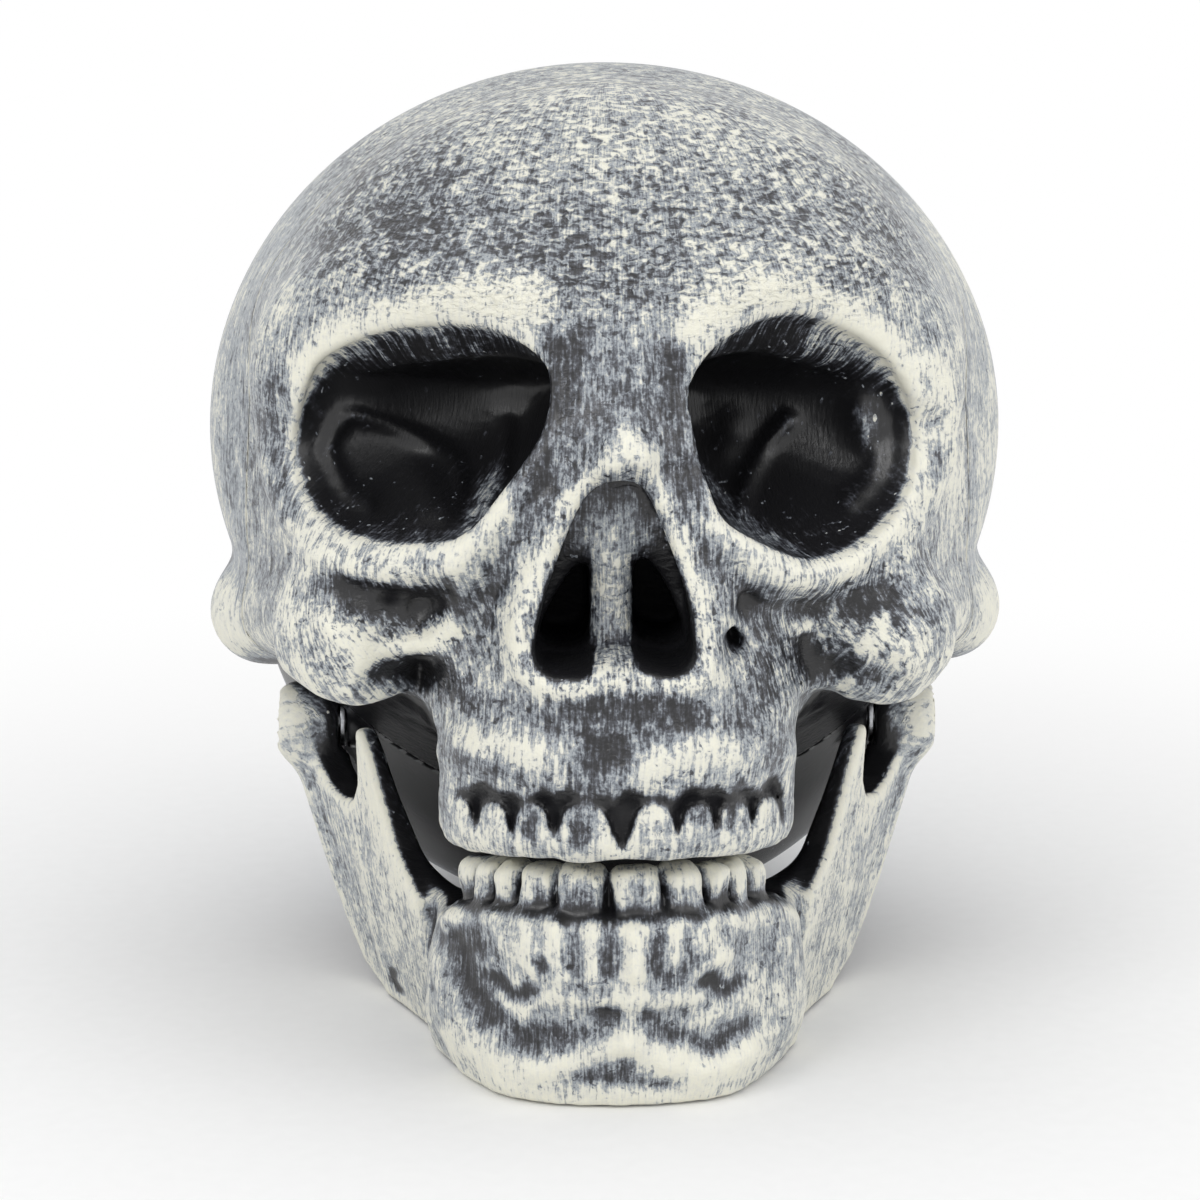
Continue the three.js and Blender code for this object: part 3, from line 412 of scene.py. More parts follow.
    def sharpen(self, places: Array, skin: Array, plane: float) -> None:
        """Moves the places where a skin ends at a plane across Y onto their common edge.

        Args:
            places: rows of x, y and z, which are changed.
            skin: distances to the skin.
            plane: where the plane lies.
        """
        near = np.abs(places[:, 1] - plane) < self.step
        near[near] = np.abs(self.sample(skin, places[near])) < self.step
        edge = places[near]
        edge[:, 1] = plane
        for _ in range(2):
            off = self.sample(skin, edge)
            way = np.stack([self.sample(g, edge) for g in np.gradient(skin, self.step)], axis=1) * (1, 0, 1)
            edge -= off[:, None] * way / np.maximum(np.sum(way * way, axis=1, keepdims=True), 0.2)
        places[near] = edge

    def mesh(self) -> tuple[Array, Array]:
        """The clay's surface: one place in each cell that it passes through, and a face across each edge.

        Returns:
            Its places in millimetres and its four-cornered faces.
        """
        inside = self.d < 0
        corners = list(np.ndindex(2, 2, 2))
        count = np.zeros([n - 1 for n in self.d.shape], np.int8)
        for c in corners:
            count += inside[tuple(slice(k, n - 1 + k) for k, n in zip(c, self.d.shape))]
        active = (count > 0) & (count < 8)
        cells = np.argwhere(active)
        number = np.full(active.shape, -1, np.int64)
        number[active] = np.arange(len(cells))

        total = np.zeros((len(cells), 3))
        hits = np.zeros(len(cells))
        for axis in range(3):
            for c in corners:
                if c[axis]:
                    continue
                far = tuple(1 if k == axis else c[k] for k in range(3))
                a = self.d[tuple((cells + c).T)].astype(float)
                b = self.d[tuple((cells + far).T)].astype(float)
                cross = (a < 0) != (b < 0)
                t = a[cross] / (a[cross] - b[cross])
                place = np.tile(np.array(c, float), (len(t), 1))
                place[:, axis] += t
                total[cross] += place
                hits[cross] += 1
        places = (cells + total / hits[:, None]) * self.step + self.low

        faces = []
        for axis in range(3):
            one, two = (axis + 1) % 3, (axis + 2) % 3
            near = inside.take(np.arange(inside.shape[axis] - 1), axis=axis)
            away = inside.take(np.arange(1, inside.shape[axis]), axis=axis)
            at = np.argwhere(near != away)
            at = at[(at[:, one] > 0) & (at[:, two] > 0)]
            at = at[(at[:, one] < inside.shape[one] - 1) & (at[:, two] < inside.shape[two] - 1)]
            back_one, back_two = np.zeros(3, int), np.zeros(3, int)
            back_one[one], back_two[two] = 1, 1
            ring = [at - back_one - back_two, at - back_two, at, at - back_one]
            quad = np.stack([number[tuple(r.T)] for r in ring], axis=1)
            leaving = near[tuple(at.T)]
            quad[~leaving] = quad[~leaving][:, ::-1]
            faces.append(quad)
        return places, np.vstack(faces)


# Finishes

Value = bpy.types.NodeSocket | float | tuple[float, ...]


@dataclass(frozen=True)
class Stroke:
    """A line of paint or relief on the front of a piece, in millimetres across and up."""

    line: tuple[Pair, ...]
    width: float
    amount: float

    def at(self, x: Array, z: Array) -> Array:
        """Its amount at places, falling off to the sides."""
        return self.amount * swell(line_distance(x, z, smooth_line(self.line, False, 4)), self.width)


@dataclass(frozen=True)
class Grain:
    """One noise of a finish: its scale along each axis, its detail and how far it is warped."""

    scale: Triple
    detail: float
    warp: float = 0.0


class Shader:
    """Short ways to add nodes to a material or a world."""

    def __init__(self, block: bpy.types.Material | bpy.types.World) -> None:
        """Empties a node tree.

        Args:
            block: the material or the world that it belongs to.
        """
        block.use_nodes = True
        self.tree = block.node_tree
        self.tree.nodes.clear()

    def node(self, kind: str, inputs: dict[str | int, Value] | None = None, **settings: str) -> bpy.types.Node:
        """Adds a node.

        Args:
            kind: its type, without the beginning that all types share.
            inputs: constants or outputs of other nodes for its inputs, by name or number.
            settings: its other settings.

        Returns:
            The node.
        """
        made = self.tree.nodes.new("ShaderNode" + kind)
        for key, value in settings.items():
            setattr(made, key, value)
        for key, value in (inputs or {}).items():
            if isinstance(value, bpy.types.NodeSocket):
                self.tree.links.new(value, made.inputs[key])
            else:
                made.inputs[key].default_value = value
        return made

    def math(self, operation: str, a: Value, b: Value = 0.0) -> bpy.types.NodeSocket:
        """One sum of two values."""
        return self.node("Math", {0: a, 1: b}, operation=operation).outputs[0]

    def total(self, *terms: tuple[Value, float]) -> bpy.types.NodeSocket:
        """Adds up values.

        Args:
            terms: each value with its weight.

        Returns:
            The total.
        """
        result: Value = 0.0
        for value, weight in terms:
            result = self.node("Math", {0: value, 1: weight, 2: result}, operation="MULTIPLY_ADD").outputs[0]
        return result

    def step(self, value: Value, low: float, high: float) -> bpy.types.NodeSocket:
        """A smooth step from 0 at low to 1 at high."""
        ends = {"Value": value, "From Min": low, "From Max": high}
        return self.node("MapRange", ends, interpolation_type="SMOOTHSTEP").outputs["Result"]

    def noise(self, vector: Value, grain: Grain) -> bpy.types.NodeSocket:
        """Adds a noise.

        Args:
            vector: the places that it is worked out at.
            grain: its scale, detail and warp.

        Returns:
            Its value, around 0.5.
        """
        stretched = self.node("Mapping", {"Vector": vector, "Scale": grain.scale}).outputs[0]
        look = {"Vector": stretched, "Scale": 1.0, "Detail": grain.detail, "Distortion": grain.warp}
        return self.node("TexNoise", look).outputs["Fac"]

    def attribute(self, name: str, kind: str = "Fac") -> bpy.types.NodeSocket:
        """A value that the mesh carries."""
        return self.node("Attribute", attribute_name=name).outputs[kind]

    def place(self) -> bpy.types.NodeSocket:
        """Where a point lies on its object."""
        return self.node("TexCoord").outputs["Object"]

    def blend(self, share: Value, a: Triple, b: Triple) -> bpy.types.NodeSocket:
        """Two colours mixed."""
        return self.node("Mix", {0: share, 6: (*a, 1.0), 7: (*b, 1.0)}, data_type="RGBA").outputs[2]

    def shades(self, value: Value, stops: Sequence[tuple[float, Triple]]) -> bpy.types.NodeSocket:
        """A colour from a row of shades.

        Args:
            value: where on the row, from 0 to 1.
            stops: each shade's place on the row and its colour.

        Returns:
            The colour.
        """
        made = self.node("ValToRGB", {"Fac": value})
        row = made.color_ramp.elements
        row[0].position, row[1].position = stops[0][0], stops[-1][0]
        for place, _ in stops[1:-1]:
            row.new(place)
        for stop, (_, colour) in zip(row, stops):
            stop.color = (*colour, 1.0)
        return made.outputs["Color"]

    def surface(
        self, colour: Value, roughness: Value, metallic: float, height: Value, depth: float, gloss: Value = 0.5
    ) -> bpy.types.NodeSocket:
        """A surface with a bump.

        Args:
            colour, roughness, metallic, gloss: what the surface is like.
            height: its relief.
            depth: how far a relief of 1 stands out, in metres.

        Returns:
            The surface's shader.
        """
        look = {"Base Color": colour, "Roughness": roughness, "Metallic": metallic, "Specular IOR Level": gloss}
        look["Normal"] = self.node("Bump", {"Height": height, "Distance": depth, "Strength": 1.0}).outputs[0]
        return self.node("BsdfPrincipled", look).outputs[0]

    def seen(self) -> bpy.types.NodeSocket:
        """1 for what the camera or a glossy reflection sees, and 0 for the light that falls on other pieces."""
        path = self.node("LightPath").outputs
        return self.math("MAXIMUM", path["Is Camera Ray"], path["Is Glossy Ray"])

    def mix(self, share: Value, a: bpy.types.NodeSocket, b: bpy.types.NodeSocket) -> bpy.types.NodeSocket:
        """Two shaders mixed."""
        return self.node("MixShader", {0: share, 1: a, 2: b}).outputs[0]


@dataclass(frozen=True)
class BonePaint:
    """Bone-coloured paint dry-brushed over black plastic: thick on ridges, a thin film on flats, none in hollows."""

    shades: tuple[tuple[float, Triple], ...] = (
        (0.0, (0.010, 0.010, 0.0115)),
        (0.16, (0.026, 0.0265, 0.031)),
        (0.32, (0.085, 0.091, 0.108)),
        (0.45, (0.25, 0.276, 0.306)),
        (0.57, (0.47, 0.50, 0.52)),
        (0.69, (0.74, 0.735, 0.665)),
        (0.95, (0.82, 0.805, 0.69)),
    )
    # along the brush
    hairs: Grain = Grain((2.3, 0.2, 2.3), 4.0, 0.3)
    dabs: Grain = Grain((1.5, 0.55, 1.5), 4.0, 0.9)
    sweeps: Grain = Grain((0.5, 0.05, 0.5), 3.0, 0.4)
    # in the plastic's own relief
    clouds: Grain = Grain((48.0, 48.0, 40.0), 2.0, 0.5)
    blots: Grain = Grain((190.0, 190.0, 190.0), 5.0, 0.6)
    specks: Grain = Grain((900.0, 900.0, 900.0), 3.0, 0.5)
    grit: Grain = Grain((2600.0, 2600.0, 2600.0), 2.0)
    pebbles: Grain = Grain((560.0, 560.0, 1200.0), 3.0, 0.7)
    # small bright flecks in the hollows and dark chips in the paint, with the values between which each appears
    flecks: tuple[Grain, Pair] = (Grain((820.0, 820.0, 430.0), 1.0), (0.69, 0.74))
    chips: tuple[Grain, Pair] = (Grain((560.0, 560.0, 640.0), 2.0, 0.5), (0.63, 0.69))
    depth: float = 0.9 * MM

    def material(self, name: str, seam: float | None = None) -> bpy.types.Material:
        """Builds the material.

        Args:
            name: its name.
            seam: where along Y the paint has caught on a seam, in millimetres, or nowhere.

        Returns:
            The material.
        """
        made = bpy.data.materials.new(name)
        s = Shader(made)
        brush, place = s.attribute("brush", "Vector"), s.place()
        cover, contrast, peel = (s.attribute(key) for key in ("cover", "contrast", "peel"))
        hairs, dabs, sweeps = (s.noise(brush, grain) for grain in (self.hairs, self.dabs, self.sweeps))
        blots, specks, grit, clouds, worms = (
            s.noise(place, grain) for grain in (self.blots, self.specks, self.grit, self.clouds, self.pebbles)
        )
        marks = (
            (hairs, 1.0), (dabs, 0.85), (sweeps, 0.5), (blots, 0.7), (specks, 0.6), (grit, 0.35), (clouds, 0.5),
        )
        uneven = s.total(*marks, (1.0, -0.5 * sum(weight for _, weight in marks)))
        uneven = s.math("MULTIPLY", uneven, contrast)
        pebbles = s.math("MULTIPLY", s.total((worms, 1.0), (0.5, -1.0)), peel)
        flecks, chips = (s.step(s.noise(place, grain), *edge) for grain, edge in (self.flecks, self.chips))
        flecks = s.math("MULTIPLY", flecks, s.step(cover, 0.2, 0.0))
        chips = s.math("MULTIPLY", chips, contrast)
        score = s.total((cover, 1.0), (pebbles, 1.45), (uneven, 1.0), (flecks, 0.5), (chips, -0.24))
        ridge: Value = 0.0
        if seam is not None:
            along = s.node("SeparateXYZ", {0: place}).outputs["Y"]
            off = s.math("ABSOLUTE", s.math("SUBTRACT", along, seam * MM))
            caught = s.math("MULTIPLY", s.step(off, 0.55 * MM, 0.2 * MM), s.step(blots, 0.3, 0.55))
            ridge = s.math("MULTIPLY", caught, s.step(cover, 0.0, 0.3))
            score = s.total((score, 1.0), (ridge, 0.3))
        thick = s.step(score, 0.5, 0.72)
        rough = s.total((thick, 0.2), (0.33, 1.0))
        height = s.total((pebbles, 1.0), (thick, 0.16), (hairs, 0.07), (dabs, 0.05), (ridge, 0.3))
        # painted shade: the gloss falls to almost nothing where the paint is barest, deep in the hollows, so these stay
        # dark instead of reflecting light
        gloss = s.total((s.step(cover, -0.9, -0.3), 0.55), (0.03, 1.0))
        surface = s.surface(s.shades(score, self.shades), rough, 0.0, height, self.depth, gloss)
        s.node("OutputMaterial", {"Surface": surface})
        return made


@dataclass(frozen=True)
class ZincSteel:
    """Plain zinc-plated steel, faintly mottled and scratched."""

    colour: Triple = (0.55, 0.56, 0.58)
    shade: Triple = (0.36, 0.37, 0.39)
    mottle: Grain = Grain((900.0, 900.0, 900.0), 4.0)
    scratches: Grain = Grain((600.0, 5000.0, 5000.0), 3.0)
    depth: float = 0.02 * MM

    def material(self, name: str) -> bpy.types.Material:
        """Builds the material.

        Args:
            name: its name.

        Returns:
            The material.
        """
        made = bpy.data.materials.new(name)
        s = Shader(made)
        place = s.place()
        mottle, scratches = s.noise(place, self.mottle), s.noise(place, self.scratches)
        colour = s.blend(s.step(mottle, 0.35, 0.65), self.shade, self.colour)
        rough = s.total((scratches, 0.25), (mottle, 0.12), (0.14, 1.0))
        s.node("OutputMaterial", {"Surface": s.surface(colour, rough, 1.0, scratches, self.depth)})
        return made


@dataclass
class Coat:
    """Where the paint lies on one piece: values for each place of its mesh."""

    cover: Array
    contrast: Array
    peel: Array
    brush: Array

    def lay(self, mesh: bpy.types.Mesh) -> None:
        """Stores its values on a mesh, where the paint's material reads them.

        Args:
            mesh: the piece's mesh.
        """
        for key in ("cover", "contrast", "peel"):
            values = mesh.attributes.new(key, "FLOAT", "POINT")
            values.data.foreach_set("value", getattr(self, key).astype(np.float32))
        values = mesh.attributes.new("brush", "FLOAT_VECTOR", "POINT")
        values.data.foreach_set("vector", self.brush.astype(np.float32).ravel())


def settle(amount: Array) -> Array:
    """Amounts of paint with the thickest pressed together, so that bare specks still show through them."""
    pressed = 1 - (1 - THICK) * np.exp((THICK - amount) / (1 - THICK))
    return np.where(amount > THICK, pressed, amount)


def film_and_painted_light(places: Array) -> Array:
    """The thin film of paint on the braincase before ridges and strokes, plus painted light: paler towards both sides
    (painted sheen), on top and on the +X side.
    """
    x, _, z = places.T
    # painted light: 0.46 is the paint's own film; the side, top and +X terms lighten it where light and sheen fall
    return 0.46 + 0.06 * ramp(np.abs(x), 48, 64) + 0.08 * ramp(x, 46, 64) + 0.06 * ramp(z, 150, 161)


def brush_places(places: Array, middle: float, radius: float, crown: float = 1.0) -> Array:
    """Where each place lies among the brush strokes, which run upwards all the way round.

    Args:
        places: rows of x, y and z in millimetres.
        middle: where along Y the piece's middle lies.
        radius: how far out its surface lies from there, at a guess.
        crown: how far from the middle the strokes give way to dabs.

    Returns:
        Rows of across, along and across again, in millimetres: places on an upright drum.
    """
    x, y, z = places.T
    away = np.sqrt(x**2 + (y - middle) ** 2 + crown**2)
    return np.stack([radius * x / away, z + 0.6 * y, radius * (middle - y) / away], axis=1)


def make_piece(name: str, places: Array, faces: Array) -> bpy.types.Object:
    """Makes an object from a mesh in millimetres.

    Args:
        name: the object's name.
        places: rows of x, y and z.
        faces: rows of four place numbers.

    Returns:
        The object, in the scene.
    """
    mesh = bpy.data.meshes.new(name)
    mesh.vertices.add(len(places))
    mesh.vertices.foreach_set("co", (places * MM).astype(np.float32).ravel())
    mesh.loops.add(faces.size)
    mesh.loops.foreach_set("vertex_index", faces.astype(np.int32).ravel())
    mesh.polygons.add(len(faces))
    mesh.polygons.foreach_set("loop_start", np.arange(0, faces.size, 4, dtype=np.int32))
    mesh.update(calc_edges=True)
    mesh.validate()
    mesh.polygons.foreach_set("use_smooth", np.ones(len(mesh.polygons), bool))
    made = bpy.data.objects.new(name, mesh)
    bpy.context.scene.collection.objects.link(made)
    log.info("%s: %d faces", name, len(faces))
    return made


# The skull's outside, shared by its two shells

@dataclass
class Orbit:
    """One eye socket, as the photo shows its rim, with the folds inside it."""

    rim: tuple[Pair, ...]
    folds: tuple[Stroke, ...]
    depth: float = 37.0
    turn: float = 0.45  # how far it shifts outwards, for each unit of depth
    brow: float = 7.5  # radius of the roll along its top
    edge: float = 5.0  # radius of the roll along its foot
    hood: float = 7.0  # how far its roof comes down behind the brow

    def middle(self) -> Pair:
        """Its middle across and up."""
        x, z = np.mean(self.rim, axis=0)
        return float(x), float(z)

    def around(self, across: float, up: float, span: Pair) -> Corners:
        """Corners of a block around it, by half sizes across and up and a span along Y."""
        x, z = self.middle()
        return (x - across, span[0], z - up), (x + across, span[1], z + up)


@dataclass
class Skull:
    """The outer form of both shells: sizes in millimetres, and the distances to the skin."""

    wall: float = 2.4
    gap: float = 0.3  # between two mouldings
    seam: float = -15.0  # where along Y the shells meet
    lip: float = 4.0  # how far the face shell's lip reaches to either side of the seam
    lip_span: Pair = (0.2, -1.8)  # where the lip lies, from the inside of the wall
    hinge: Pair = (-4.0, 47.0)  # the jaw's axis along Y and Z
    screw: Pair = (14.0, -24.0)  # a shell screw along X and Y
    vault: Oval = ((0, 10.5, 99.5), (73, 80, 66.5))
    base: Oval = ((0, 36.5, 58), (62, 49, 60))
    forehead: Oval = ((0, -32, 124), (54, 38, 40))
    temple: Oval = ((77, -39.5, 106), (16, 30, 36))
    midface: Oval = ((0, -42, 90), (42, 36, 34))
    cheek: Oval = ((45, -58.0, 78), (13, 13, 13))
    root: Oval = ((63.5, 0, 67), (9.5, 12.4, 9.5))  # where the cheekbone arch grows out of the braincase
    canine_pit: Oval = ((27, -87.4, 77), (9, 9, 9))
    temple_ridge: Run = ((48.75, -38.6, 121.5), (48.75, -18.8, 121.5), 7.5, 7.5)
    bridge: Run = ((0, -63, 124), (0, -78.6, 112.5), 9, 5)
    pillar: Run = ((7.25, -72.1, 110), (15.25, -80.4, 77), 5.5, 5.5)
    arch: float = 7.0  # radius of the cheekbone arch
    neck: Run = ((55.1, -4, 47), (47.2, -7.5, 17.6), 4.4, 2.6)  # of the jaw, below its knuckle
    brow: Pair = (-72, 131.5)  # along Y and Z, where the slope of the face starts
    face_slope: float = 0.26
    face_bend: float = 0.0145
    face_flat: float = 10.83  # half the width before the face bends back
    teeth_front: float = -90.0
    teeth_round: float = 28.0
    dental_half: float = 30.0
    gum: float = 55.9
    maxilla_top: float = 79.4
    septum: float = -1.4
    drum: Pair = (10.0, 80.0)  # middle along Y and radius of the drum that the brush goes up
    orbits: tuple[Orbit, Orbit] = (
        Orbit(
            rim=((-53.3, 111.1), (-51.6, 118.5), (-48.1, 124.4), (-36.6, 130.0), (-22.7, 131.2), (-13.6, 127.0),
                 (-12.1, 121.2), (-14.0, 114.3), (-20.4, 105.2), (-27.5, 98.1), (-41.5, 96.1), (-50.2, 99.1),
                 (-53.2, 105.7)),
            folds=(
                Stroke(((-49.6, 107.3), (-45.8, 112.4), (-40.8, 111.2), (-34.9, 108.5), (-28.1, 104.8),
                        (-26.3, 102.1)), 1.5, 1.2),
                Stroke(((-49.6, 107.3), (-45.6, 100.4), (-42.1, 98.8)), 1.3, 1.0),
                Stroke(((-18.3, 109.4), (-19.4, 104.0), (-22.4, 100.4)), 1.3, 1.4),
                Stroke(((-31.5, 100.5), (-30.0, 100.0)), 4.0, 2.4),
                Stroke(((-38.0, 120.0), (-30.0, 121.0)), 7.0, 1.5),
            ),
        ),
        Orbit(
            rim=((11.8, 122.6), (17.1, 129.2), (27.1, 132.7), (36.8, 129.5), (44.7, 123.4), (49.4, 113.5),
                 (48.3, 102.2), (41.7, 96.4), (32.2, 93.9), (22.9, 97.7), (16.9, 101.9), (14.2, 108.4), (12.3, 115.4)),
            folds=(
                Stroke(((21.3, 99.0), (22.8, 101.9), (26.7, 107.5), (30.1, 111.0)), 1.4, 1.8),
                Stroke(((45.6, 106.3), (43.5, 102.0), (39.8, 99.3)), 1.6, 1.5),
                Stroke(((19.7, 107.4), (20.2, 109.5)), 3.2, 1.8),
                Stroke(((44.1, 110.9), (43.0, 113.0)), 4.0, 1.8),
            ),
        ),
    )
    nose: tuple[Pair, ...] = (
        (0.1, 108.1), (-3.4, 107.2), (-6.1, 105.0), (-8.6, 100.0), (-10.7, 94.6), (-12.4, 89.6), (-13.6, 84.8),
        (-14.0, 81.0), (-12.6, 78.2), (-9.0, 77.8), (-5.8, 78.3), (-2.2, 79.9), (2.0, 79.5), (7.1, 78.0),
        (10.2, 78.8), (11.4, 81.6), (10.8, 88.0), (9.0, 94.5), (7.2, 99.2), (5.6, 103.2), (3.4, 106.8),
    )
    relief: tuple[Stroke, ...] = (
        # brows, and the outer ridge of one socket
        Stroke(((-55.0, 117.0), (-48.1, 126.4), (-39.2, 132.4), (-30.5, 136.2), (-22.0, 138.0), (-14.0, 137.6)),
               3.6, 1.3),
        Stroke(((11.5, 133.4), (17.9, 137.3), (28.5, 137.6), (36.8, 133.8), (45.5, 126.2), (51.3, 117.8)), 3.6, 1.3),
        Stroke(((53.5, 123.0), (57.5, 110.5), (60.5, 97.0)), 3.0, 1.0),
        # around the nose opening
        Stroke(((-1.4, 112.7), (-5.8, 108.4), (-10.0, 101.7), (-13.2, 95.2), (-15.7, 88.9), (-17.4, 82.6),
                (-16.6, 77.6)), 2.1, 1.5),
        Stroke(((3.2, 112.7), (6.2, 106.4), (8.4, 100.0), (11.0, 93.6), (13.0, 87.3), (14.3, 81.0), (13.0, 77.0)),
               2.0, 1.4),
        Stroke(((-1.4, 112.2), (1.0, 115.0), (3.6, 113.0)), 2.8, 1.7),
        Stroke(((-12.5, 76.1), (-6.8, 75.8), (-2.6, 77.7), (3.0, 77.7), (11.2, 75.7)), 1.9, 1.2),
        # under the sockets
        Stroke(((-51.2, 93.0), (-43.0, 91.6), (-34.6, 91.6), (-28.4, 93.6), (-21.2, 101.2), (-15.5, 109.2)),
               2.4, 1.2),
        Stroke(((13.2, 104.6), (16.5, 98.8), (23.0, 93.4), (32.2, 90.6), (40.0, 93.2), (47.5, 98.5)), 2.4, 1.1),
        # cheekbones
        Stroke(((-44.5, 86.4), (-38.0, 85.4), (-32.4, 85.8)), 4.2, -0.7),
        Stroke(((-48.0, 81.5), (-42.3, 76.9), (-36.3, 77.0), (-27.7, 81.8)), 2.8, 1.6),
        Stroke(((-38.6, 73.8), (-33.8, 72.6)), 3.6, -2.2),
        Stroke(((31.4, 85.0), (38.0, 87.4), (45.0, 85.0)), 4.4, -0.7),
        Stroke(((29.4, 75.2), (36.5, 73.2), (43.0, 74.0)), 4.2, -1.6),
        Stroke(((43.0, 76.0), (47.0, 77.0), (49.0, 74.0)), 3.2, 1.2),
        # upper jaw
        Stroke(((-26.0, 63.2), (-19.8, 65.0), (-12.2, 63.4)), 3.6, 1.7),
        Stroke(((5.5, 63.4), (12.4, 65.0), (20.2, 63.2)), 3.6, 1.7),
        Stroke(((17.7, 81.8), (18.6, 79.9)), 1.5, -2.2),
        Stroke(((-2.6, 73.0), (-2.6, 62.0)), 2.6, -0.7),
        # flats beside the nose
        Stroke(((-12.2, 109.3), (-16.3, 101.2), (-21.3, 90.0), (-24.7, 80.4)), 3.0, -0.9),
        Stroke(((11.8, 109.0), (16.0, 97.8), (20.2, 88.4)), 3.0, -0.9),
    )

    def screw_at(self, sign: float) -> Pair:
        """Where a shell screw stands across and along Y."""
        return sign * self.screw[0], self.screw[1]

    def on_screw(self, sign: float, radius: float, span: Pair) -> Form:
        """An upright rod on the axis of a shell screw."""
        at = self.screw_at(sign)
        return lambda x, y, z: rod(x, y, z, Axis.Z, at, radius, span)

    def on_hinge(self, sign: float, radius: float, span: Pair) -> Form:
        """A rod on the jaw's axis, between two distances from the middle on one side."""
        ends = (sign * span[0], sign * span[1])
        return lambda x, y, z: rod(x, y, z, Axis.X, self.hinge, radius, ends)

    def face_y(self, x: Array, z: Array) -> Array:
        """How far forward the face lies, before its relief."""
        bend = self.face_bend * np.maximum(0, np.abs(x) - self.face_flat) ** 2
        return self.brow[0] - self.face_slope * (self.brow[1] - z) + bend

    def core(self, x: Array, y: Array, z: Array) -> Array:
        """The smooth braincase and middle of the face, which the hollow follows.

        Args:
            x, y, z: places.

        Returns:
            The distance at each place.
        """
        x = np.abs(x)
        d = join(ellipsoid(x, y, z, *self.vault), ellipsoid(x, y, z, *self.forehead), 16)
        d = carve(d, ellipsoid(x, y, z, *self.temple), 14)
        d = join(d, ellipsoid(x, y, z, *self.base), 24)
        return join(d, ellipsoid(x, y, z, *self.midface), 12)

    def jaw_plan(self, x: Array, y: Array, half: float, front: float) -> Array:
        """Distance in plan to a row of teeth with a round front."""
        ahead = np.minimum(0, y - front - self.teeth_round)
        return (np.hypot(x / half, ahead / self.teeth_round) - 1) * half

    def maxilla(self, x: Array, y: Array, z: Array) -> Array:
        """The upper jaw above its teeth.

        Args:
            x, y, z: places.

        Returns:
            The distance at each place.
        """
        low, top, back = self.gum, self.maxilla_top, -44
        plan = np.maximum(self.jaw_plan(x, y, self.dental_half, self.teeth_front), y - back)
        return meet(plan, np.abs(z - (low + top) / 2) - (top - low) / 2, 6.0)

    def roll(self, x: Array, y: Array, z: Array, orbit: Orbit) -> Array:
        """The roll around an eye socket, thick at the brow.

        Args:
            x, y, z: places.
            orbit: the socket.

        Returns:
            The distance at each place.
        """
        cx, cz = orbit.middle()
        ring = []
        for px, pz in smooth_line(orbit.rim, True, 2):
            up = (pz - cz) / math.hypot(px - cx, pz - cz)
            radius = orbit.edge + (orbit.brow - orbit.edge) * (1 + up) / 2
            px += math.copysign(radius / 4, px - cx)
            pz += radius / 2 * up
            ring.append((px, float(self.face_y(np.float64(px), pz)) + radius, pz, radius))
        best = np.float32(FAR)
        for a, b in zip(ring, ring[1:] + ring[:1]):
            best = np.minimum(best, bar(x, y, z, a[:3], b[:3], a[3], b[3]))
        return best

    def skin(self, clay: Clay) -> Array:
        """Builds the whole outer form in the clay.

        Args:
            clay: the block to build in.

        Returns:
            The distances to the smooth core.
        """
        clay.add(self.core)
        core = clay.d.copy()
        clay.add(self.maxilla, 10)
        clay.add(lambda x, y, z: ellipsoid(np.abs(x), y, z, *self.cheek), 9)
        clay.add(lambda x, y, z: bar(np.abs(x), y, z, self.cheek[0], self.root[0], self.arch, self.arch), 7)
        clay.add(lambda x, y, z: ellipsoid(np.abs(x), y, z, *self.root), 4)
        for orbit in self.orbits:
            clay.add(lambda x, y, z, o=orbit: self.roll(x, y, z, o), 10, orbit.around(44, 44, (-100, -10)))
        clay.add(lambda x, y, z: bar(np.abs(x), y, z, *self.temple_ridge), 14)
        clay.add(lambda x, y, z: bar(x, y, z, *self.bridge), 6)
        clay.add(lambda x, y, z: bar(np.abs(x), y, z, *self.pillar), 6)
        clay.cut(lambda x, y, z: ellipsoid(np.abs(x), y, z, *self.canine_pit), 8)
        x, y, z = clay.grid()
        clay.raise_by(sum(stroke.at(x, z) for stroke in self.relief) * ramp(-y, 14, 30))
        return core

    def socket(self, x: Array, y: Array, z: Array, orbit: Orbit, grow: float = 0.0) -> Array:
        """The bowl of an eye socket.

        Args:
            x, y, z: places.
            orbit: the socket.
            grow: a wall around the bowl, which then has no folds.

        Returns:
            The distance at each place.
        """
        cx, cz = orbit.middle()
        inwards = y - self.face_y(x, z)
        t = np.clip(inwards / (orbit.depth + grow), 0, 1)
        narrow = np.sqrt(1.03 - t * t)
        shift = -math.copysign(orbit.turn, cx) * t * orbit.depth
        u = (x - cx - shift) / narrow + cx
        v = (z - cz) / narrow + cz
        v = v + orbit.hood * ramp(inwards, 0.0, 15) * ramp(v - cz, 2, 15)
        side = loop_distance(u, v, smooth_line(orbit.rim, True, 3)) * narrow - grow
        made = np.maximum(side, inwards - orbit.depth - grow)
        if grow > 0:
            return made
        return made + sum(fold.at(x, z) for fold in orbit.folds) * ramp(inwards, 5, 14)

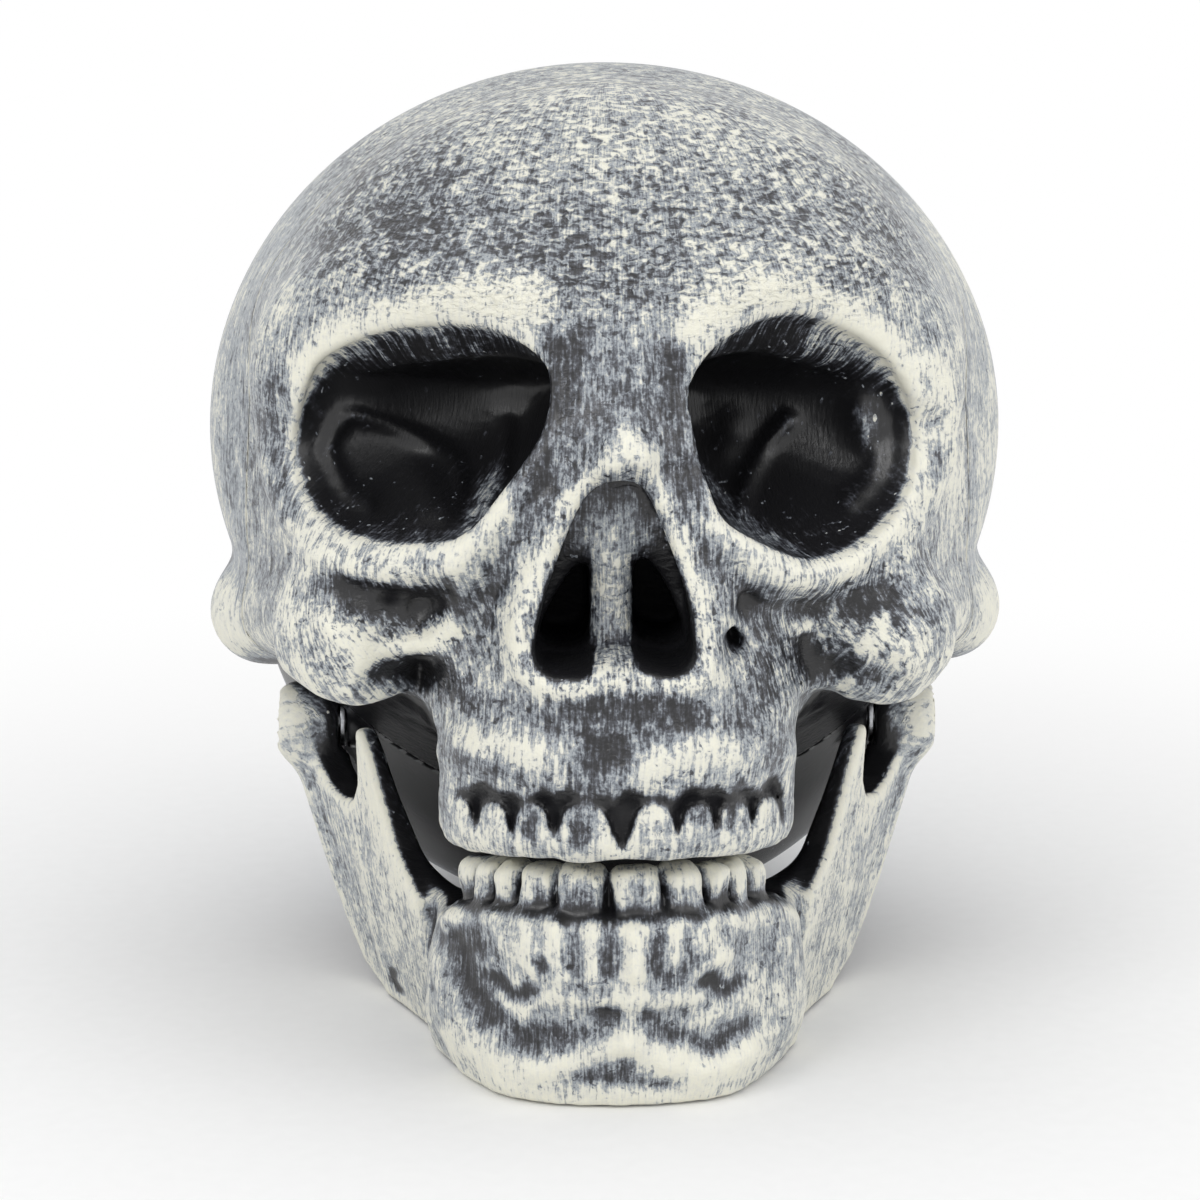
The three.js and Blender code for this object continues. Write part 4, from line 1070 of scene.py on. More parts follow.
    def nostrils(self, x: Array, y: Array, z: Array, grow: float = 0.0) -> Array:
        """The nose opening: a sloping recess with two deep pockets beside the septum.

        Args:
            x, y, z: places.
            grow: a wall around it.

        Returns:
            The distance at each place.
        """
        side = loop_distance(x, z, smooth_line(self.nose, True, 2)) - grow
        middle = x - self.septum
        depth = 3.0 + 9.5 * ramp(-z, -107, -84) - 3.0 * swell(middle, 4.6) * ramp(-z, -104, -92)
        recess = np.maximum(side, y - self.face_y(np.zeros_like(x), z) - depth - grow)
        lateral = side + 0.4 + 0.3 * np.maximum(0, z - 80)
        pocket = -join(-lateral, np.abs(middle) - 3.4 - 0.02 * (z - 78) + grow, 3.0)
        pocket = -join(-pocket, -(z - 96.5 - grow), 6.0)
        pocket = np.maximum(pocket, y + 56.7 - grow)
        return join(recess, pocket, 0.0 if grow > 0 else 2.0)


@dataclass
class ToothRow:
    """A row of lower crowns around an arch, with their widths from the middle outwards on each side."""

    left: tuple[float, ...]
    right: tuple[float, ...]
    half: float
    front: float
    middle: float
    bite: float
    height: float
    depth: float = 8.0
    taper: float = 0.16
    round: float = 28.0
    slope: float = 0.22

    def level(self, y: Array, z: Array) -> Array:
        """Height measured along the slope of the row."""
        return z + self.slope * np.maximum(0, y - self.front)

    def place(self, along: float) -> Triple:
        """A place on the arch.

        Args:
            along: how far it lies from the middle along the arch.

        Returns:
            Its x and y, and the angle of the arch there.
        """
        turns = np.linspace(0, math.pi / 2, 60)
        xs, ys = self.half * np.sin(turns), self.front + self.round * (1 - np.cos(turns))
        run = np.concatenate([[0], np.cumsum(np.hypot(np.diff(xs), np.diff(ys)))])
        if along >= run[-1]:
            return self.half, float(ys[-1] + along - run[-1]), math.pi / 2
        angle = math.atan2(*(np.interp(along + 0.2, run, p) - np.interp(along, run, p) for p in (ys, xs)))
        return float(np.interp(along, run, xs)), float(np.interp(along, run, ys)), angle

    def grow(self, clay: Clay, fillet: float) -> None:
        """Adds every crown to the clay.

        Args:
            clay: the block to add them to.
            fillet: size of the fillet around each.
        """
        for sign, widths in ((-1, self.left), (1, self.right)):
            along = sign * self.middle
            for width in widths:
                x, y, angle = self.place(abs(along + width / 2))
                self._crown(clay, (sign * x, y, sign * angle), width, fillet)
                along += width

    def _crown(self, clay: Clay, at: Triple, width: float, fillet: float) -> None:
        """Adds one crown.

        Args:
            clay: the block to add it to.
            at: its x and y, and the angle of the arch there.
            width: its width along the arch.
            fillet: size of the fillet around it.
        """
        cos, sin = math.cos(at[2]), math.sin(at[2])
        middle = self.bite - self.height / 2 - self.slope * (at[1] - self.front)

        def crown(x: Array, y: Array, z: Array) -> Array:
            """The crown: a rounded block with a waist, on the arch's own axes.

            Args:
                x, y, z: places.

            Returns:
                The distance at each place.
            """
            along = (x - at[0]) * cos + (y - at[1]) * sin
            out = -(x - at[0]) * sin + (y - at[1]) * cos
            down = middle - z
            waist = 1 - self.taper * np.clip(down / self.height + 0.5, 0, 1)
            u = np.abs(along / (0.52 * width * waist)) ** 3.6
            v = np.abs(out / (0.5 * self.depth * (0.6 + 0.4 * waist))) ** 3.0
            w = np.abs(down / (0.5 * self.height)) ** 4.4
            return ((u + v + w) ** (1 / 3.7) - 1) * width * 0.45

        reach = 12.0
        around = ((at[0] - reach, at[1] - reach, middle - reach), (at[0] + reach, at[1] + reach, middle + reach))
        clay.add(crown, fillet, around)


@dataclass
class FaceShell:
    """The front shell, with sockets, nose opening, upper jaw and upper teeth."""

    skull: Skull
    paint: BonePaint
    step: float = 0.8
    block: Corners = ((-71, -98, 26), (71, -8, 170))
    near_nose: Corners = ((-24, -98, 68), (24, -40, 120))
    near_teeth: Corners = ((-38, -98, 32), (38, -40, 72))
    palate: Oval = ((0, -61, 55.9), (18, 17, 9))
    lumps: tuple[tuple[float, float, int], ...] = ((6.5, 0.5, 11), (2.7, 0.34, 12))  # size, height and seed
    row: Pair = (29.2, -89.0)  # half width and front of the teeth
    bite: float = 46.0
    slope: float = 0.2
    post: Turned = (4.6, (36.4, 45.8))
    post_hole: Turned = (1.9, (20, 60))
    crowns: tuple[Pair, ...] = (  # middle across and half width
        (-26.6, 2.0), (-21.2, 2.5), (-14.8, 2.9), (-6.3, 4.2), (5.1, 3.5), (12.4, 2.8), (18.8, 2.9), (24.6, 2.4),
    )
    strokes: tuple[Stroke, ...] = (
        # brows and rims of the sockets
        Stroke(((-51.4, 121.4), (-48.1, 126.0), (-39.0, 131.2), (-30.5, 134.4), (-22.3, 136.6), (-14.0, 135.6)),
               3.1, 0.42),
        Stroke(((9.9, 131.0), (17.9, 136.4), (28.5, 136.8), (36.8, 133.2), (45.5, 125.4), (48.6, 121.6)), 2.6, 0.34),
        Stroke(((51.2, 116.4), (52.8, 108.6), (52.0, 101.0), (47.6, 95.0)), 1.5, 0.14),
        Stroke(((54.5, 122.0), (58.5, 109.0), (61.0, 95.0)), 3.0, 0.2),
        Stroke(((-53.0, 95.0), (-48.0, 92.6), (-39.5, 90.8), (-31.2, 91.8), (-24.5, 96.0), (-19.0, 103.0)),
               2.4, 0.24),
        Stroke(((14.0, 103.6), (18.0, 96.9), (25.2, 92.3), (33.0, 89.8), (41.6, 93.2), (48.0, 99.0)), 2.2, 0.2),
        # around the nose opening
        Stroke(((-1.4, 113.0), (-5.8, 108.4), (-10.0, 101.7), (-13.2, 95.2), (-16.2, 88.0), (-18.9, 82.6)),
               1.7, 0.12),
        Stroke(((3.2, 113.8), (6.2, 107.2), (8.4, 100.0), (11.3, 92.8), (13.3, 85.6), (14.0, 79.4)), 1.4, 0.14),
        Stroke(((-3.3, 109.8), (1.0, 114.4), (4.1, 112.2)), 2.8, 0.26),
        Stroke(((-14.9, 76.5), (-10.1, 74.9), (-3.5, 76.4), (3.0, 76.4), (12.0, 76.1)), 1.3, 0.2),
        Stroke(((-8.0, 73.4), (-2.0, 73.0), (8.0, 73.6)), 2.0, -0.2),
        # cheekbone at the viewer's left
        Stroke(((-53.0, 89.5), (-49.8, 84.0), (-44.6, 79.2)), 4.6, 0.12),
        Stroke(((-42.3, 75.4), (-36.3, 77.0), (-27.7, 81.4)), 2.1, 0.42),
        Stroke(((-45.0, 87.0), (-41.0, 85.2), (-37.0, 86.6)), 2.6, -0.5),
        Stroke(((-37.5, 85.6), (-33.0, 83.6), (-30.6, 86.0)), 3.0, -0.55),
        Stroke(((-40.6, 74.6), (-39.0, 72.6)), 1.8, -0.5),
        Stroke(((-36.6, 73.4), (-31.0, 73.8)), 2.6, -0.55),
        Stroke(((-29.5, 76.5), (-27.5, 71.0)), 2.6, -0.3),
        # cheekbone at the viewer's right
        Stroke(((31.4, 84.6), (35.0, 87.6), (39.0, 86.4)), 2.4, -0.22),
        Stroke(((41.0, 83.6), (43.0, 86.2), (46.0, 84.0)), 2.2, -0.32),
        Stroke(((29.4, 78.0), (36.5, 73.6), (42.6, 74.4)), 3.0, -0.34),
        Stroke(((30.0, 81.4), (37.0, 79.6), (43.0, 80.4)), 2.2, 0.26),
        Stroke(((20.5, 88.0), (23.5, 80.5), (24.0, 73.0)), 2.6, -0.22),
        # temple, and spots on the cheekbones
        Stroke(((-56.5, 122.0), (-60.0, 110.0), (-60.5, 96.0)), 4.6, -0.16),
        Stroke(((-46.0, 90.0), (-43.0, 88.4)), 1.5, -0.22),
        Stroke(((-29.0, 90.5), (-26.0, 87.0), (-27.0, 83.5)), 1.6, -0.24),
        Stroke(((43.6, 75.2), (48.6, 76.6)), 2.6, 0.4),
        # upper jaw
        Stroke(((-26.0, 63.2), (-19.8, 65.0), (-12.2, 63.4)), 2.8, 0.26),
        Stroke(((5.5, 63.4), (12.4, 65.0), (20.2, 63.2)), 2.8, 0.3),
        Stroke(((3.0, 70.5), (12.0, 69.5)), 3.2, -0.18),
        Stroke(((-4.6, 70.0), (-2.8, 65.0), (-2.6, 60.5)), 2.8, -0.22),
        Stroke(((-27.0, 60.6), (-20.0, 60.6)), 1.8, -0.2),
        Stroke(((22.0, 66.0), (25.0, 61.0)), 2.6, -0.18),
        # crowns
        Stroke(((-15.4, 50.2), (-14.4, 53.8)), 1.1, -0.42),
        Stroke(((-7.6, 49.8), (-5.2, 54.0)), 1.7, -0.36),
        Stroke(((4.6, 60.0), (5.2, 54.0)), 1.2, 0.4),
        Stroke(((12.6, 53.6), (12.4, 57.0)), 1.8, -0.4),
        Stroke(((18.8, 54.2), (18.8, 57.4)), 1.6, -0.36),
        # beside the bridge of the nose
        Stroke(((-10.6, 130.0), (-10.0, 122.0), (-12.4, 113.0), (-17.5, 105.0)), 2.6, -0.3),
        Stroke(((9.6, 129.0), (10.0, 120.0), (11.0, 111.0), (13.4, 104.0)), 2.6, -0.28),
        # forehead
        Stroke(((-46.0, 141.0), (-38.0, 148.0)), 9.0, -0.12),
        Stroke(((-20.0, 160.0), (-6.0, 161.0)), 8.0, 0.06),
        Stroke(((-32.0, 144.5), (-20.0, 144.0), (-10.0, 142.5)), 5.5, -0.1),
        Stroke(((-6.4, 130.0), (-2.6, 119.5)), 6.0, -0.08),
        Stroke(((7.0, 127.0), (8.4, 119.5)), 5.0, -0.08),
    )

    def build(self) -> bpy.types.Object:
        """Models, meshes and dresses the shell.

        Returns:
            The shell's object.
        """
        skull = self.skull
        clay = Clay(self.block, self.step)
        core = skull.skin(clay)
        sockets, nose, rooms = self._hollows(clay)
        clay.cut(lambda x, y, z: ellipsoid(x, y, z, *self.palate), 2.0)
        self._teeth(clay)
        _, y, z = clay.grid()
        for size, height, seed in self.lumps:
            clay.roughen(size, height, seed, ramp(-y, 24, 44) * (1 - ramp(z, 116, 132)))
        clay.d = carve(clay.d, sockets, 2.4)
        clay.d = carve(clay.d, nose, 1.4)
        solid = clay.d.copy()

        inside = core + skull.wall
        outer, inner = skull.lip_span
        clay.trim(-np.maximum(inside, -rooms))
        clay.trim(y - skull.seam + skull.gap / 2)
        lip = np.maximum(inside - outer, -(inside - inner))
        clay.merge(np.maximum(lip, np.abs(y - skull.seam) - skull.lip))
        for sign in SIDES:
            clay.add(skull.on_screw(sign, *self.post))
            clay.cut(skull.on_screw(sign, *self.post_hole))
        places, faces = clay.mesh()
        clay.sharpen(places, solid, skull.seam - skull.gap / 2)
        made = make_piece("face_skin", places, faces)
        self.dress(made, self._coat(clay, solid, core, (sockets, nose), places))
        return made

    def dress(self, shell: bpy.types.Object, coat: Coat) -> None:
        """Paints the shell."""
        coat.lay(shell.data)
        shell.data.materials.append(self.paint.material("face_paint", self.skull.seam))

    def _hollows(self, clay: Clay) -> tuple[Array, Array, Array]:
        """Measures what is hollowed out from the front and from below.

        Args:
            clay: the block that the shell is modelled in.

        Returns:
            The distances to the eye sockets, to the nose opening, and to both and the palate grown by a wall.
        """
        skull, wall = self.skull, self.skull.wall
        sockets, rooms = (np.full(clay.d.shape, FAR, np.float32) for _ in range(2))
        for orbit in skull.orbits:
            near = orbit.around(40, 32, (-98, -18))
            sockets = np.minimum(sockets, clay.measure(lambda x, y, z, o=orbit: skull.socket(x, y, z, o), near))
            rooms = np.minimum(rooms, clay.measure(lambda x, y, z, o=orbit: skull.socket(x, y, z, o, wall), near))
        nose = clay.measure(skull.nostrils, self.near_nose)
        rooms = np.minimum(rooms, clay.measure(lambda x, y, z: skull.nostrils(x, y, z, wall), self.near_nose))
        middle, radii = self.palate
        grown = tuple(r + wall for r in radii)
        return sockets, nose, np.minimum(rooms, clay.measure(lambda x, y, z: ellipsoid(x, y, z, middle, grown)))

    def _level(self, y: Array, z: Array) -> Array:
        """Height measured along the slope of the teeth."""
        return z + self.slope * np.maximum(0, y - self.row[1])

    def _gaps(self, x: Array, y: Array, z: Array) -> Array:
        """How far each place lies out of the upper crowns.

        Args:
            x, y, z: places.

        Returns:
            From 0 on a crown, or far from them all, to 1 between two or just above them.
        """
        level = self._level(y, z)
        inside = np.zeros(np.broadcast(x, level).shape)
        low = 1 + 0.3 * ramp(-level, -53, -49)
        for at, half in self.crowns:
            off = (np.abs(x - at) / (half * low)) ** 2.4 + (np.maximum(level - 51.0, 0) / (4.2 + 0.3 * half)) ** 2.4
            inside = np.maximum(inside, 1 - ramp(off, 0.55, 1.4))
        top = 57.0 + 0.9 * np.sin(0.52 * x + 0.8) + 0.5 * np.sin(1.3 * x)
        zone = ramp(level, 47.4, 49.4) * (1 - ramp(level - top, -2.2, 2.8)) * (1 - ramp(np.abs(x), 26.0, 28.6))
        return zone * (1 - inside)

    def _teeth(self, clay: Clay) -> None:
        """Adds the upper teeth: a rounded row with a swelling for each crown.

        Args:
            clay: the block that the shell is modelled in.
        """
        half, front = self.row
        thick, tall, back = 6.8, 10.0, -50

        def row(x: Array, y: Array, z: Array) -> Array:
            """The row without its crowns.

            Args:
                x, y, z: places.

            Returns:
                The distance at each place.
            """
            plan = self.skull.jaw_plan(x, y, half, front)
            inner = self.skull.jaw_plan(x, y, half - thick, front + thick)
            made = meet(plan - 1.1, np.abs(self._level(y, z) - self.bite - tall) - tall, 4.4)
            return np.maximum(np.maximum(made, -inner), y - back)

        clay.add(row, 3.5, self.near_teeth)
        part, (x, y, z) = clay.window(self.near_teeth)
        clay.d[part] += (2.0 * self._gaps(x, y, z) * ramp(-y, 52, 60)).astype(np.float32)

    def _rim(self, orbit: Orbit, x: Array, z: Array) -> Array:
        """The paint along the rim of an eye socket: a thin line below and outside, none at the nose.

        Args:
            orbit: the socket.
            x, z: places across and up.

        Returns:
            Two rows: the paint at each place, and how near the rim it lies.
        """
        cx, cz = orbit.middle()
        away = loop_distance(x, z, smooth_line(orbit.rim, True, 3)) - 1.0
        span = np.maximum(np.hypot(x - cx, z - cz), 1)
        up, out = (z - cz) / span, math.copysign(1, cx) * (x - cx) / span
        share = np.maximum(ramp(out, 0.1, 0.7), ramp(-up, 0.2, 0.7))
        return np.stack([0.36 * share * swell(away, 1.1), swell(away, 5.0) * (1 - ramp(up, 0.3, 0.8))])

    def _coat(self, clay: Clay, solid: Array, core: Array, hollows: tuple[Array, Array], places: Array) -> Coat:
        """Works out where the paint lies.

        Args:
            clay: the block that the shell was modelled in.
            solid: distances to the shell with its hollow filled.
            core: distances to the smooth core.
            hollows: distances to the eye sockets and to the nose opening.
            places: the mesh's places.

        Returns:
            The coat.
        """
        x, y, z = places.T
        skull = self.skull
        depth = y - skull.face_y(x, z)
        socket, nose = (clay.sample(hollow, places) for hollow in hollows)
        rims = sum(self._rim(orbit, x, z) for orbit in skull.orbits)
        nose_rim = swell(loop_distance(x, z, smooth_line(skull.nose, True, 2)) - 2.0, 3.0) * ramp(-y, 60, 70)
        spare = 1 - 0.75 * np.clip(rims[1] + 0.8 * nose_rim, 0, 1)
        fine, broad = (clay.standing_out(solid, radius, places) for radius in (1.3, 4.5))
        # the film carries painted light: paler sides, top and +X side
        cover = film_and_painted_light(places) + (1.8 * fine + 0.5 * broad) * spare + rims[0] * ramp(-y, 26, 40)
        for stroke in self.strokes:
            cover += stroke.at(x, z) * ramp(-y, 12, 26)
        # sockets, where the brush has caught the brow's underside
        bowl = 1 - ramp(socket, 0.2, 1.6)
        reach = 1.6 + 9.4 * ramp(z, 114, 124)
        cover -= bowl * (0.06 + 0.46 * ramp(depth / reach, 0.1, 1) + 0.12 * ramp(depth, 12, 22))
        # nose opening, with bare pockets
        pocket = ramp(np.abs(x - skull.septum), 2.6, 4.6) * ramp(-z, -98, -89)
        cover -= (1 - ramp(nose, 0.1, 1.0)) * (0.08 + np.maximum(0.9 * pocket, 1.3 * ramp(depth, 15, 19)))
        # between the crowns and behind them
        cover -= 0.95 * ramp(self._gaps(x, y, z), 0.15, 0.95) * ramp(-y, 52, 60)
        cover -= 1.5 * ramp(y, -62, -46) * ramp(-z, -68, -60) * (np.abs(x) < 52)
        # seam and inside
        cover += 0.2 * swell(y - skull.seam, 0.9) * ramp(-x, 10, 20)
        cover[(clay.sample(core, places) < -0.8) & (socket > 3.2) & (y > -66)] = BARE

        peel = ramp(z, 128, 140) * (1 - ramp(np.abs(x), 42, 62)) + 0.22
        peel *= 1 - ramp(-socket, -3, -1)
        cheek = np.exp(-(((np.abs(x) - 37) / 15) ** 2) - ((z - 80) / 13) ** 2)
        fringe = bowl * ramp(z, 114, 124) * (1 - ramp(depth, 9, 14))
        contrast = 0.88 + 0.55 * cheek - 0.2 * ramp(z, 134, 144) + 0.5 * fringe + 0.4 * nose_rim
        return Coat(settle(cover), contrast, peel, self._brush(places))

    def _brush(self, places: Array) -> Array:
        """Turns the brush strokes on the cheekbones.

        Args:
            places: the mesh's places.

        Returns:
            Where each lies among the strokes, as brush_places gives it.
        """
        x, _, z = places.T
        brush = brush_places(places, *self.skull.drum)
        most, reach = math.radians(34), 16
        for pivot in ((-32.6, 35.0), (32.6, 35.0)):
            swing = most * np.exp(-(((x - 1.16 * pivot[0]) ** 2 + (z - 80) ** 2) / reach**2))
            out, up = (brush[:, :2] - pivot).T
            brush[:, 0] = pivot[0] + out * np.cos(swing) + up * np.sin(swing)
            brush[:, 1] = pivot[1] - out * np.sin(swing) + up * np.cos(swing)
        return brush


@dataclass
class CraniumShell:
    """The rear shell, with the braincase, the roots of the cheekbone arches and the base."""

    skull: Skull
    paint: BonePaint
    step: float = 1.0
    block: Corners = ((-78, -28.5, -3), (78, 96, 170))
    open_turns: Pair = (math.radians(30), math.radians(40))  # turns of the jaw that bring its neck near
    room: Pair = (7.2, 4.2)  # radii of the room for that neck
    cup: Turned = (10.4, (45.6, 99))  # the wall around a knuckle
    cup_room: Turned = (8.0, (48, 99))
    boss: Turned = (5.5, (34.3, 48))
    boss_hole: Turned = (1.9, (36.7, 60))
    leg: tuple[Pair, Triple] = ((-6.4, 25), (4, 4, 25.1))  # its middle along Y and Z, and its half sizes
    tongue: tuple[Pair, Triple] = ((-13.2, 48.1), (4, 10.8, 2))
    post: Turned = (4.0, (46.1, 58.1))
    post_hole: Turned = (1.9, (40, 56))
    contrast: float = 0.64
    crown: float = 40.0  # how far around the top the strokes give way to dabs

    def build(self) -> bpy.types.Object:
        """Models, meshes and dresses the shell.

        Returns:
            The shell's object.
        """
        skull = self.skull
        clay = Clay(self.block, self.step)
        core = skull.skin(clay)
        solid = clay.d.copy()
        _, y, z = clay.grid()
        inside = core + skull.wall
        lap = np.maximum(inside - skull.lip_span[0] - skull.gap, np.abs(y - skull.seam) - skull.lip - skull.gap)
        clay.trim(skull.seam + skull.gap / 2 - y)
        clay.trim(-z)
        limit = np.maximum(clay.d, -lap)
        clay.trim(-np.maximum(inside, skull.wall - z))
        clay.trim(-lap)
        for sign in SIDES:
            clay.merge(np.maximum(clay.measure(skull.on_hinge(sign, *self.cup)), limit))
        self._make_room(clay, limit)
        for sign in SIDES:
            clay.cut(skull.on_hinge(sign, *self.cup_room))
            clay.add(skull.on_hinge(sign, *self.boss))
            clay.cut(skull.on_hinge(sign, *self.boss_hole))
            self._tongue(clay, sign, core)
        places, faces = clay.mesh()
        clay.sharpen(places, solid, skull.seam + skull.gap / 2)
        made = make_piece("cranium_skin", places, faces)
        self.dress(made, self._coat(clay, solid, places))
        return made

    def dress(self, shell: bpy.types.Object, coat: Coat) -> None:
        """Paints the shell."""
        coat.lay(shell.data)
        shell.data.materials.append(self.paint.material("cranium_paint", self.skull.seam))

    def _make_room(self, clay: Clay, limit: Array) -> None:
        """Hollows the sides where the neck of the open jaw comes to lie, with a wall behind each hollow.

        Args:
            clay: the block that the shell is modelled in.
            limit: distances to what the walls stay inside of.
        """
        top, foot, *_ = self.skull.neck
        y, z = foot[1] - top[1], foot[2] - top[2]
        for grow in (self.skull.wall, 0.0):
            radii = tuple(radius + grow for radius in self.room)
            for turn in self.open_turns:
                c, s = math.cos(turn), math.sin(turn)
                end = (foot[0], top[1] + y * c - z * s, top[2] + y * s + z * c)
                room = clay.measure(lambda x, y, z, e=end, r=radii: bar(np.abs(x), y, z, top, e, *r))
                if grow:
                    clay.merge(np.maximum(room, limit))
                else:
                    clay.trim(-room)

    def _tongue(self, clay: Clay, sign: float, core: Array) -> None:
        """Adds the leg, tongue and post that a shell screw bites.

        Args:
            clay: the block that the shell is modelled in.
            sign: which side it is on.
            core: distances to the smooth core, which the leg ends in.
        """
        skull, x0 = self.skull, sign * self.skull.screw[0]
        leg, tongue = (((x0, *middle), half, 0.3) for middle, half in (self.leg, self.tongue))
        upright = clay.measure(lambda x, y, z: box(x, y, z, *leg))
        clay.merge(np.maximum(upright, core + (skull.wall - skull.gap) / 2))
        clay.add(lambda x, y, z: box(x, y, z, *tongue))
        clay.add(skull.on_screw(sign, *self.post))
        clay.cut(skull.on_screw(sign, *self.post_hole))

    def _coat(self, clay: Clay, solid: Array, places: Array) -> Coat:
        """Works out where the paint lies.

        Args:
            clay: the block that the shell was modelled in.
            solid: distances to the shell with its hollow filled.
            places: the mesh's places.

        Returns:
            The coat.
        """
        x, y, z = places.T
        # the film carries painted light: paler sides, top and +X side
        cover = film_and_painted_light(places) + 1.6 * clay.standing_out(solid, 4.5, places)
        cover = cover - 1.2 * ramp(-z, -64, -52) * ramp(-y, -30, 0)
        ear = self.skull.root[0]
        root = np.sqrt((np.abs(x) - ear[0]) ** 2 + (y - ear[1]) ** 2 + (z - ear[2]) ** 2)
        cover += (0.36 * ramp(-y, -2, 8) - 0.16) * (1 - ramp(root, 8, 17))
        cover[clay.sample(solid, places) < -0.8] = BARE
        peel = 0.35 * ramp(z, 120, 150)
        peel += 0.8 * ramp(z, 132, 146) * (1 - ramp(y, -12, 34)) * (1 - ramp(np.abs(x), 42, 62))
        even = np.full(len(places), self.contrast)
        return Coat(settle(cover), even, peel, brush_places(places, *self.skull.drum, self.crown))


